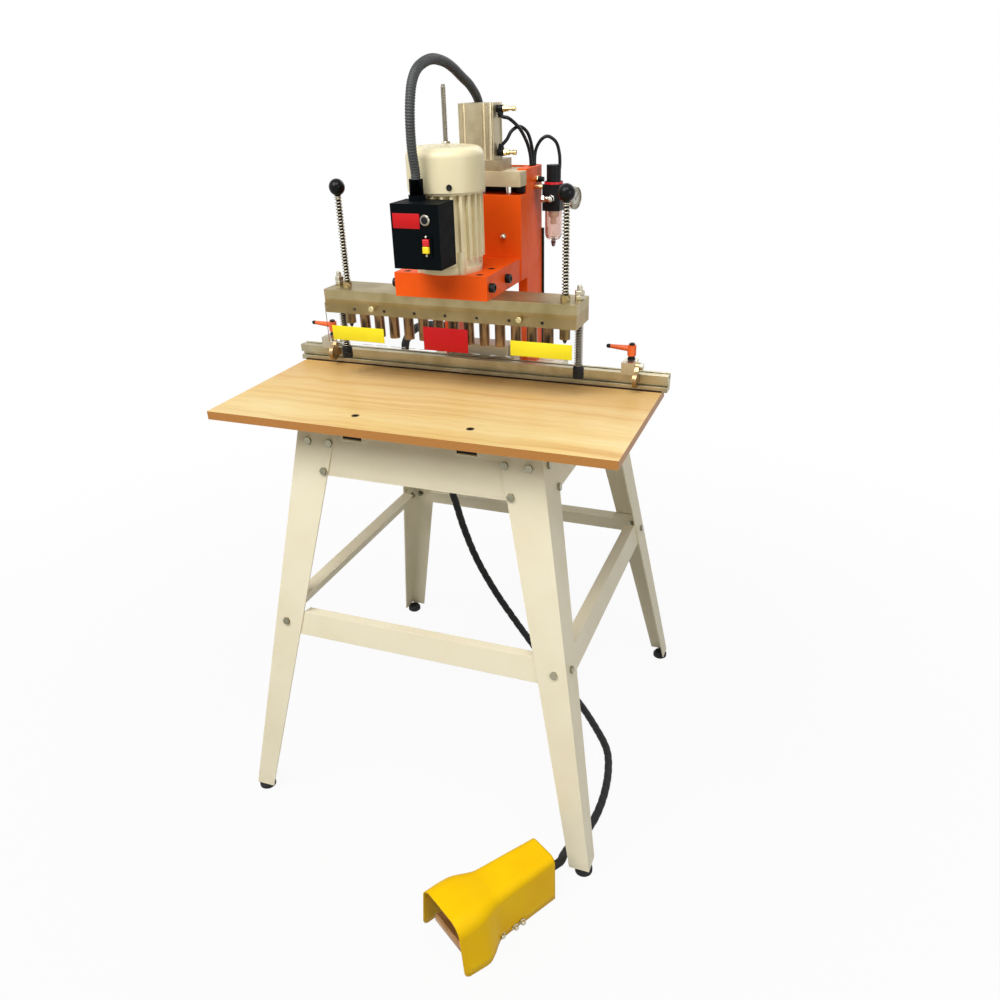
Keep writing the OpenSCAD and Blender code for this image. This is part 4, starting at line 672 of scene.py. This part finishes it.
def makeScrews(c, t, n, g):
    sides = [(place(sign * c["sideX"], y, c["sideZ"]), facing[side])
             for side, sign in bothSides[::-1] for y in c["sideY"]]
    tops = [(place(x, y, c["topZ"]), facing["up"]) for x in (-c["topX"], c["topX"]) for y in c["topY"]]
    for name, spots, size in (("sideScrews", sides, 1.0), ("saddleScrews", tops, c["topSize"])):
        repeatPiece(name, screwTemplate(c), spots, "blackSteel", "head", ["head_bolts"], size)
    r, tall = t["head"], t["tall"]
    profile = [(2.5, -3.2), (2.5, 0), (r - 1.6, 0.2), (r - 1.4, 2.4), (r, 3.2, 18), (r, tall - 0.8, 18),
               (r - 0.8, tall), (0, tall + 0.1)]
    spots = [(place(sign * t["x"], t["y"], t["z"]), facing["front"]) for side, sign in bothSides]
    template = lathe("thumbTemplate", atOrigin, profile, None, axis="x")
    repeatPiece("guardScrews", template, spots, "yellowZinc", "head", ["head_bolts"])
    spots = [(place(n["first"] + k * n["step"], n["y"], n["z"]), facing["front"]) for k in range(n["count"])]
    repeatPiece("caseScrews", screwTemplate(n), spots, "blackSteel", "head")
    nipple = [(g["across"], 0, 6), (g["across"], -3.6, 6), (3.2, -4), (2.8, -5.2), (3.9, -6.2), (4.3, -7.6),
              (3.2, -9), (0, -g["tall"])]
    turnPiece("greaseNipple", place(g["x"], g["y"], g["z"]), nipple, "zinc", "head", ["head_bolts"],
              axis="y")


makeScrews(capScrew, thumbScrew, setScrew, greaseNipple)
print("screws made")


# rods between carriage and bracket: chromed piston rod, threaded depth rod with stop nuts, plain guide rod
liftRods = {"low": 1226, "pistonY": 173, "piston": 10, "pistonTop": 1288, "rodY": 155, "depthX": -66,
            "rod": 6, "depth": 5, "depthTop": 1413, "thread": 2.5, "cut": 1.0, "nut": 1301, "nutTall": 8,
            "nutAcross": 9.2, "guideX": 61.5, "guideTop": 1266}


def makeRods(c):
    def rod(name, x, y, profile, coat, slot, sides):
        turnPiece(name, place(x, y, 0), profile, coat, "head", ["lift_rods"], sides)

    low, r, pitch, high = c["low"], c["depth"], c["thread"], c["guideTop"]
    piston = [(c["piston"], low), (c["piston"], c["pistonTop"])]
    rod("pistonRod", 0, c["pistonY"], piston, "chrome", "steel", 36)
    thread, z = [(r - c["cut"], low)], low
    while z < c["depthTop"] - 2 * pitch:
        thread += [(r, z + pitch * 0.4), (r, z + pitch * 0.6), (r - c["cut"], z + pitch)]
        z += pitch
    rod("depthRod", c["depthX"], c["rodY"], thread + [(r - 1.5, c["depthTop"])], "steel", "steel", 24)
    across = c["nutAcross"]
    for k in range(2):
        z, top = c["nut"] + k * c["nutTall"], c["nut"] + (k + 1) * c["nutTall"]
        nut = [(across * 0.86, z), (across, z + 1, 6), (across, top - 1.2, 6), (across * 0.86, top - 0.2)]
        rod("depthNut%d" % (k + 1), c["depthX"], c["rodY"], nut, "zinc", "zinc", 36)
    r = c["rod"]
    rod("guideRod", c["guideX"], c["rodY"], [(r, low), (r, high - 1), (r - 1, high)], "chrome", "steel", 28)


makeRods(liftRods)

# painted shade: black blocks in the shadowed gap under the cylinder bracket, one behind the rods and one
# before each upright
gapShadeBlocks = {"stopBuffer": ((-74, 74), (184, 229)), "sideBufferLeft": ((-92.5, -76), (157, 165.6)),
           "sideBufferRight": ((76, 92.5), (157, 165.6))}
gapShadeZ = (1227.5, 1240.8)
for name, (x, y) in gapShadeBlocks.items():
    boxPiece(name, x, y, gapShadeZ, 1.5, "blackRubber", "stand")


# air fittings: flow controls on the cylinder, ports, plug, elbow, hose gland and conduit socket
flowControl = {"x": 33, "y": 175, "high": 1371, "low": 1297, "collar": 5.6, "reach": 15}
fittingSpots = {
    "rear": (130, 243, 1213.5), "supply": (130, 251, 1213.5), "front": (132, 207, 1213.5),
    "plug": (132, 195, 1213.5), "side": (94, 209, 1234), "elbow": (94, 225, 1246), "gland": (-94, 190, 952),
    "socket": (-30, 254, 1226)}


def fitting(name, spot, profile, coat, axis):
    turnPiece(name, spot, profile, coat, "stand", ["fittings"], axis=axis)


def makeFittings(f, spots):
    for label, z, way in (("High", f["high"], -1), ("Low", f["low"], 1)):
        spot = place(f["x"], f["y"], z)
        fitting("flowBody" + label, spot, barrel(6.5, 0, 14, 1.2), "blackPlastic", "x")
        collar = [(6.4, 14), (6.4, 17, 6), (6.2, 19, 6), (4.2, 19.2), (4.2, 21), (5.5, 21.2, 6), (5.5, 24, 6),
                  (3, 24.2), (3, 31)]
        fitting("flowCollar" + label, spot, collar, "brass", "x")
        fitting("flowScrew" + label, spot, barrel(4.5, 30.5, 38, 1, 12), "brass", "x")
        r, long = f["collar"], f["reach"]
        push = [(r - 0.8, 0), (r, way * 0.8), (r, way * (long - 5)), (r - 0.9, way * (long - 4.4)),
                (r - 0.9, way * (long - 1)), (r - 1.6, way * long)]
        fitting("flowPush" + label, place(f["x"] + 7, f["y"], z), push, "blackPlastic", "z")
    gland = [(13, 0, 6), (13, -4.2, 6), (12.4, -4.8), (11.6, -7.2), (10.4, -8), (9.2, -8)]
    socket = [(13, 0), (13, 8), (12.2, 9), (13, 10), (13, 20.5), (11.8, 22), (8.8, 22), (8.8, 12.2),
              (0, 12.2)]
    for name, at, profile, coat, axis in (
            ("supplyPort", "rear", barrel(6.4, 0, 6, 0.8, 6) + barrel(5.5, 6, 13, 1), "blackPlastic", "y"),
            ("supplyPush", "supply", barrel(5.2, 0, 14, 0.8), "blackPlastic", "z"),
            ("frontElbow", "front", barrel(6.6, -5, 0, 0.7, 6) + barrel(5.6, -18, -5, 3), "chrome", "y"),
            ("frontPlug", "plug", barrel(6.8, -18, -11, 0.8, 6) + barrel(5.4, -11, 3, 2), "chrome", "x"),
            ("sideNipple", "side", barrel(4.6, 0, 19, 0.7), "brass", "x"),
            ("elbowNut", "elbow", barrel(6.5, 0, 5, 0.7, 6), "brass", "x"),
            ("elbowPush", "elbow", barrel(5.4, 4.8, 11, 0.8) + barrel(4.5, 11, 16, 0.8), "blackPlastic", "x"),
            ("hoseGland", "gland", gland, "blackPlastic", "x"),
            ("conduitSocket", "socket", socket, "blackPlastic", "z")):
        fitting(name, place(*spots[at]), profile, coat, axis)


makeFittings(flowControl, fittingSpots)

# air lines of black polyurethane tube, 6.5 mm, held by the fittings and the hollow upright
airTube = {"radius": 3.25, "step": 2, "sides": 16}
airLines = {
    "highLine": [(40, 175, 1364.2), (40, 175, 1362.2), (40, 175, 1360.2), (46, 175, 1357), (58, 175, 1354),
                 (74, 184, 1338), (80.5, 205, 1315), (83.5, 216, 1295), (84.5, 220, 1278), (84.5, 220, 1256)],
    "lowLine": [(40, 175, 1303.8), (40, 175, 1305.8), (40, 175, 1307.8), (51, 178, 1319), (59, 183, 1333),
                (71, 194, 1340), (80.5, 212, 1329), (84.5, 226, 1304), (84.5, 232, 1280), (84.5, 232, 1256)],
    "supplyLine": [(84.5, 244, 1256), (84.5, 244, 1282), (87.5, 246, 1300), (97.5, 248, 1315),
                   (110.5, 250, 1320), (126, 251, 1310), (133, 251, 1290), (134, 251, 1266),
                   (130, 251, 1243.3), (130, 251, 1227.3), (130, 251, 1223.3), (130, 251, 1219.3)],
    "downLine": [(95, 262.6, 1150), (95, 262.6, 1060), (95, 262.6, 970), (95, 262.6, 881.3)]}
for name, points in airLines.items():
    route = evenRoute(smoothRoute([place(*p) for p in points], 12), airTube["step"] * mm)[0]
    line = sweep(name, route, airTube["radius"] * mm, airTube["sides"], (0, 1, 0.1), "airTube")
    finishPiece(line, "stand", ["air_lines"])
print("rods, fittings and air lines made")


# filter regulator: red ring, gauge with its dial, clear bowl with the filter inside
regulator = {"x": 130, "y": 225, "ringZ": 1237.6, "ringTall": 4.8, "ring": 18.5, "bowlTop": 1190,
             "bowlLow": 1133, "bowl": 17, "wall": 2.5}
gauge = {"x": 148, "y": 225, "z": 1213.5, "dial": 18.4, "back": 8, "face": 26, "ticks": 28, "out": 3,
         "scaleTurn": math.radians(270), "needleTurn": -0.9, "turn": math.radians(-13)}


def makeRegulator(c):
    spot = place(c["x"], c["y"], 0)
    low, high, r = c["ringZ"], c["ringZ"] + c["ringTall"], c["ring"]
    ring = [(r - 1, low), (r, low + 0.6), (r, high - 0.6), (r - 1, high), (r - 3, high), (r - 3, low)]
    turnPiece("regulatorRing", spot, ring, "redPlastic", "stand", sides=48, closed=True)
    top, low, r, wall = c["bowlTop"], c["bowlLow"], c["bowl"], c["wall"]
    shell = [(4, low - 9), (4, low), (r - 8, low + 0.5), (r - 4, low + 3), (r - 1, low + 8), (r, low + 13),
             (r, top - 0.1), (r - wall, top - 0.1), (r - wall, low + 14), (r - wall - 1.5, low + 9),
             (r - wall - 5, low + 6), (0, low + 5)]
    turnPiece("filterBowl", spot, shell, "bowlPlastic", "stand", ["filter_bowl"], 44)
    core = barrel(6, top - 26, top - 13, 1.2) + barrel(10.5, top - 12, top - 1, 0.8)
    turnPiece("filterCore", spot, core, "amberPlastic", "stand")
    drain = [(2.2, low - 12), (3, low - 11.5), (3, low - 6), (5, low - 5.6, 6), (5, low - 2, 6),
             (4.4, low - 1.4)]
    turnPiece("drainTap", spot, drain, "brownPlastic", "stand")


def makeGauge(c):
    spot = place(c["x"], c["y"], c["z"])
    hub, dial = Vector((c["back"], 0, 0)) * mm, spot + Vector((c["face"], 0, 0)) * mm
    out = Vector((c["out"], 0, 0)) * mm
    swing = (Matrix.Translation(spot + hub + out) @ Matrix.Rotation(c["turn"], 4, "Z")
             @ Matrix.Translation(-spot - hub))
    stem = [(5, 0), (5, 2), (6.4, 2.2, 6), (6.4, 7, 6), (5, 7.4), (5, 13)]
    turnPiece("gaugeStem", spot, stem, "brass", "stand", ["pressure_gauge"], axis="x")
    d = c["dial"]
    case = [(d - 5, 8), (d, 9.5), (d + 0.6, 12), (d + 0.6, 21), (d + 2.6, 21.4), (d + 2.6, 26.6),
            (d + 1.6, 28), (d + 0.2, 28), (d, 26.4), (0, 25.4)]
    turnPiece("gaugeCase", spot, case, "steel", "stand", ["pressure_gauge"], 56, "x", move=swing)
    face = [(d - 0.2, 25.6), (d - 0.2, 26), (0, 26)]
    turnPiece("gaugeFace", spot, face, "dialPaint", "stand", sides=56, axis="x", move=swing)
    tick = roundedBox("tickTemplate", Vector((-0.1, -0.35, 12.6)) * mm, Vector((0.15, 0.35, 16.4)) * mm, 0.05,
                      None, 1)
    turns = [c["scaleTurn"] * (k / (c["ticks"] - 1) - 0.5) for k in range(c["ticks"])]
    spots = [(dial, (a, 0, 0)) for a in turns]
    repeatPiece("gaugeTicks", tick, spots, "blackPlastic", "stand", move=swing)
    needle = roundedBox("gaugeNeedle", Vector((-0.2, -0.5, -4)) * mm, Vector((0.4, 0.5, 13)) * mm, 0.2,
                        "blackPlastic", 1)
    tilt = Matrix.Translation(dial + Vector((0.6, 0, 0)) * mm) @ Matrix.Rotation(c["needleTurn"], 4, "X")
    finishPiece(needle, "stand", move=swing @ tilt)


makeRegulator(regulator)
makeGauge(gauge)
print("regulator made")


# switch: red over yellow rocker, its two screws and the lock barrel in the box's front
switch = {"x": (14.2, 25.8), "front": -138, "red": (1176.4, 1187.6), "yellow": (1164.6, 1175.8), "lockX": 19,
          "lockZ": 1217, "lock": 9, "screws": (1191, 1161)}


def makeSwitch(c):
    front, r = c["front"], c["lock"]
    for name, out, z, edge, coat, slot in (
            ("rockerRed", 6.2, c["red"], 1.2, "redPlastic", "red_plastic"),
            ("rockerYellow", 8, c["yellow"], 1.6, "yellowPlastic", "yellow_paint")):
        boxPiece(name, c["x"], (front - out, front + 4), z, edge, coat, "switch_rocker",
                 ["switch_rocker"])
    middle = sum(c["x"]) / 2
    for k, z in enumerate(c["screws"]):
        head = [(1.9, 0), (1.9, -0.5), (1.2, -1), (0, -1.1)]
        turnPiece("switchScrew%d" % (k + 1), place(middle, front - 3, z), head, "zinc", "head",
                  sides=20, axis="y")
    spot = place(c["lockX"], front, c["lockZ"])
    ring = [(r, 0), (r, -1.6), (r - 1.2, -2.8), (r - 3, -2.8), (r - 3.6, -1)]
    turnPiece("lockRing", spot, ring, "steel", "head", sides=40, axis="y")
    core = [(r - 3.5, 0), (r - 3.5, -1.8), (r - 4.2, -2.2), (1.6, -2.2), (1.4, -1.2), (0, -1.2)]
    turnPiece("lockCore", spot, core, "blackSteel", "head", sides=40, axis="y")


makeSwitch(switch)

# screw in the fan cover's skirt
coverScrew = {"turn": math.radians(-62.5), "radius": 68.9, "z": 1259.5, "head": 5, "tall": 3, "socket": 2.4,
              "deep": 2}


def makeCoverScrew(c):
    out = Vector((math.cos(c["turn"]), math.sin(c["turn"]), 0)) * c["radius"] * mm
    spots = [(place(0, 0, c["z"]) + out, (0, 0, c["turn"]))]
    repeatPiece("coverScrew", screwTemplate(c), spots, "blackSteel", "head")


makeCoverScrew(coverScrew)
print("switch and cover screw made")


# foot pedal: one bent and painted sheet, lofted over stations along its length
pedalCover = {"length": 239, "sheet": 2, "corner": 13, "lift": 0.4, "stations": [
    # share of the length, half width at the foot and at the shoulder, height, rounding
    (0, 38, 36.5, 114, 16), (0.3, 42.3, 40.5, 114, 17), (0.55, 45.7, 44, 115, 20), (0.62, 52, 48, 117, 23),
    (0.69, 64, 55, 120, 27), (0.77, 74, 61, 123, 30), (0.87, 74, 63, 124, 32), (1, 72, 62, 122, 30)]}
pedalBolts = {"spots": [(-105, 8), (-88, 9), (-137, 10)], "out": 43.5, "lean": -0.008, "across": 5.5,
              "tall": 7}
treadToe = {"half": 44, "edge": 1, "parts": {  # spans in Y and Z
    "treadToe": ((-228, -213.2), (43, 48)), "treadRib": ((-226, -221), (47, 51)),
    "treadLip": ((-228, -225), (34, 46))}}


def makePedal(c, b, t):
    points, faces = [], []
    rings = smoothRoute([Vector(s) for s in c["stations"]], 10)
    bend = [math.pi / 2 * k / 9 for k in range(1, 10)]
    corner = c["corner"]
    for share, foot, half, high, r in rings:
        left = c["length"] * (1 - share)
        low = c["lift"]
        if left < corner:
            low = corner - math.sqrt(max(0, corner ** 2 - (corner - left) ** 2))
        side = [(foot + (half - foot) * k / 6, low + (high - r - low) * k / 6) for k in range(7)]
        arc = [(half - r + r * math.cos(a), high - r + r * math.sin(a)) for a in bend]
        top = [((half - r) * (1 - k / 4), high) for k in range(1, 5)]
        right = side + arc + top
        line = [(-x, z) for x, z in right[:-1]] + right[::-1]
        points += [pedalPlace(x, -share * c["length"], z) for x, z in line]
    across = len(line)
    for i in range(len(rings) - 1):
        for j in range(across - 1):
            a = i * across + j
            faces.append((a, a + across, a + across + 1, a + 1))
    cover = meshPiece("pedalCover", points, faces, "yellowPaint")
    sheet = cover.modifiers.new("sheet", "SOLIDIFY")
    sheet.thickness, sheet.offset, sheet.use_even_offset = c["sheet"] * mm, -1, True
    finishPiece(cover, "stand", ["pedal_cover"])
    r, tall = b["across"], b["tall"]
    bolt = [(7, 0), (7, 1), (r, 1.1, 6), (r, tall - 1, 6), (r * 0.86, tall)]
    spots = [(pedalPlace(b["out"] + y * b["lean"], y, z), (0, 0, -pedalSpot["turn"])) for y, z in b["spots"]]
    template = lathe("boltTemplate", atOrigin, bolt, None, axis="x")
    repeatPiece("pedalBolts", template, spots, "zinc", "stand")
    stance = Matrix.Translation(pedalPlace(0, 0, 0)) @ Matrix.Rotation(-pedalSpot["turn"], 4, "Z")
    for name, (y, z) in t["parts"].items():
        low, high = Vector((-t["half"], y[0], z[0])) * mm, Vector((t["half"], y[1], z[1])) * mm
        finishPiece(roundedBox(name, low, high, t["edge"], "treadSteel"), "pedal_tread", move=stance)


makePedal(pedalCover, pedalBolts, treadToe)
print("pedal made")


# flip stops: black lever tip, cap screw on the hub and ring under it
flipStop = {"x": 330, "y": 98.5, "lever": 46, "leverZ": 963.3, "top": 968.1, "neck": 941.5, "ring": 6.6,
            "bore": 6.05}
hubScrew = {"head": 5.6, "tall": 4, "socket": 2.8, "deep": 2.6}


def makeStops(c, s):
    for side, sign in bothSides:
        label, x = side.capitalize(), sign * c["x"]
        tip = [(1.2, -4.6), (2.8, -3.9), (3.9, -1.8), (4.1, 1), (4, 3.5)]
        turnPiece("leverTip" + label, place(x - c["lever"], c["y"], c["leverZ"]), tip, "blackPlastic",
                  "stop_lever_" + side, sides=28, axis="x")
        spots = [(place(x, c["y"], c["top"]), facing["up"])]
        repeatPiece("hubScrew" + label, screwTemplate(s), spots, "blackSteel", "stop_lever_" + side)
        r, low, bore = c["ring"], c["neck"], c["bore"]
        ring = [(r + 1.4, low), (r + 1.4, low + 1.4), (r, low + 2), (r, low + 6), (bore, low + 6.2),
                (bore, low)]
        turnPiece("hubRing" + label, place(x, c["y"], 0), ring, "blackSteel", "stop_block_" + side,
                  closed=True)


makeStops(flipStop, hubScrew)

# black caps over the table's two bolts, a dark strip of painted shadow along the fence's foot, and black
# blocks of painted shade in the open ends of the base rails
tableCap = {"x": 114.5, "y": -208, "z": 883.2, "head": 7.35, "tall": 1.6, "socket": 3.4, "deep": 1.3}
fenceFootShadow = {"x": (-396.5, 396.5), "y": (79.4, 80.9), "z": (885.05, 888.2)}
railPlug = {"x": 114.5, "half": 19.8, "y": (-227, -222), "z": (845.2, 865.8)}


def makeCaps(c, s, p):
    spots = [(place(sign * c["x"], c["y"], c["z"]), facing["up"]) for side, sign in bothSides]
    repeatPiece("tableCaps", screwTemplate(c), spots, "blackSteel", "stand")
    # painted shadow: a dark strip where the fence meets the table
    boxPiece("fenceSeal", s["x"], s["y"], s["z"], 0.5, "shadowStripDark", "stand", steps=2)
    # painted shade: black blocks for the shaded inside of each rail's open end
    for side, sign in bothSides:
        x = (sign * p["x"] - p["half"], sign * p["x"] + p["half"])
        boxPiece("railPlug" + side.capitalize(), x, p["y"], p["z"], 1, "blackRubber", "stand")


makeCaps(tableCap, fenceFootShadow, railPlug)
print("stops, caps, footShadow and railShades made")


# floor, backdrop and soft studio light
studio = {"half": 14, "floor": "bdbdbb", "near": 0.7, "far": 2.4, "nearWhite": 0.94, "world": 0.15,
          "aim": (0, 0, 0.8)}
studioLamps = {  # place in metres, size, watts
    "keySoftbox": ((-1.0, -2.1, 3.5), 2.4, 120), "fillSoftbox": ((0.8, -1.3, 3.6), 1.6, 44),
    "sideSoftbox": ((2.2, -1.0, 1.4), 1.4, 14), "backSoftbox": ((0.6, 2.9, 2.6), 2.2, 24)}


def backdropRays(tree):  # 1 for the rays that see the backdrop, straight, in gloss or through clear plastic
    path = addNode(tree, "LightPath").outputs
    seen = path["Is Camera Ray"]
    for kind in ("Is Glossy Ray", "Is Transmission Ray"):
        seen = addNode(tree, "Math", {"operation": "MAXIMUM", 0: seen, 1: path[kind]})
    return seen


def makeStage(c, lamps):
    wide, white = c["half"], (1, 1, 1, 1)
    corners = [(-wide, -wide, 0), (wide, -wide, 0), (wide, wide, 0), (-wide, wide, 0)]
    finish["paleFloor"], tree, spot = startFinish("paleFloor")
    matte = addNode(tree, "BsdfDiffuse", {"Color": fromHex(c["floor"])})
    glow = addNode(tree, "Emission", {"Color": white, "Strength": 1})
    away = addNode(tree, "VectorMath", {"operation": "LENGTH", 0: spot}).outputs["Value"]
    fade = addNode(tree, "MapRange", {0: away, 1: c["near"], 2: c["far"], 3: c["nearWhite"], 4: 1})
    share = addNode(tree, "Math", {"operation": "MULTIPLY", 0: backdropRays(tree), 1: fade})
    mixed = addNode(tree, "MixShader", {0: share, 1: matte, 2: glow})
    addNode(tree, "OutputMaterial", {"Surface": mixed})
    floor = meshPiece("studioFloor", corners, [(0, 1, 2, 3)], "paleFloor")
    world = bpy.data.worlds.new("studioWorld")
    bpy.context.scene.world = world
    world.use_nodes = True
    tree = world.node_tree
    tree.nodes.clear()
    lit, seen = (addNode(tree, "Background", {"Color": white, "Strength": s}) for s in (c["world"], 1))
    mixed = addNode(tree, "MixShader", {0: backdropRays(tree), 1: lit, 2: seen})
    addNode(tree, "OutputWorld", {"Surface": mixed})
    for name, (spot, size, power) in lamps.items():
        data = bpy.data.lights.new(name, "AREA")
        data.shape, data.size, data.energy = "DISK", size, power
        lamp = linkObject(name, data)
        lamp.location = spot
        lamp.rotation_euler = (Vector(c["aim"]) - Vector(spot)).to_track_quat("-Z", "Y").to_euler()


makeStage(studio, studioLamps)
print("stage set")
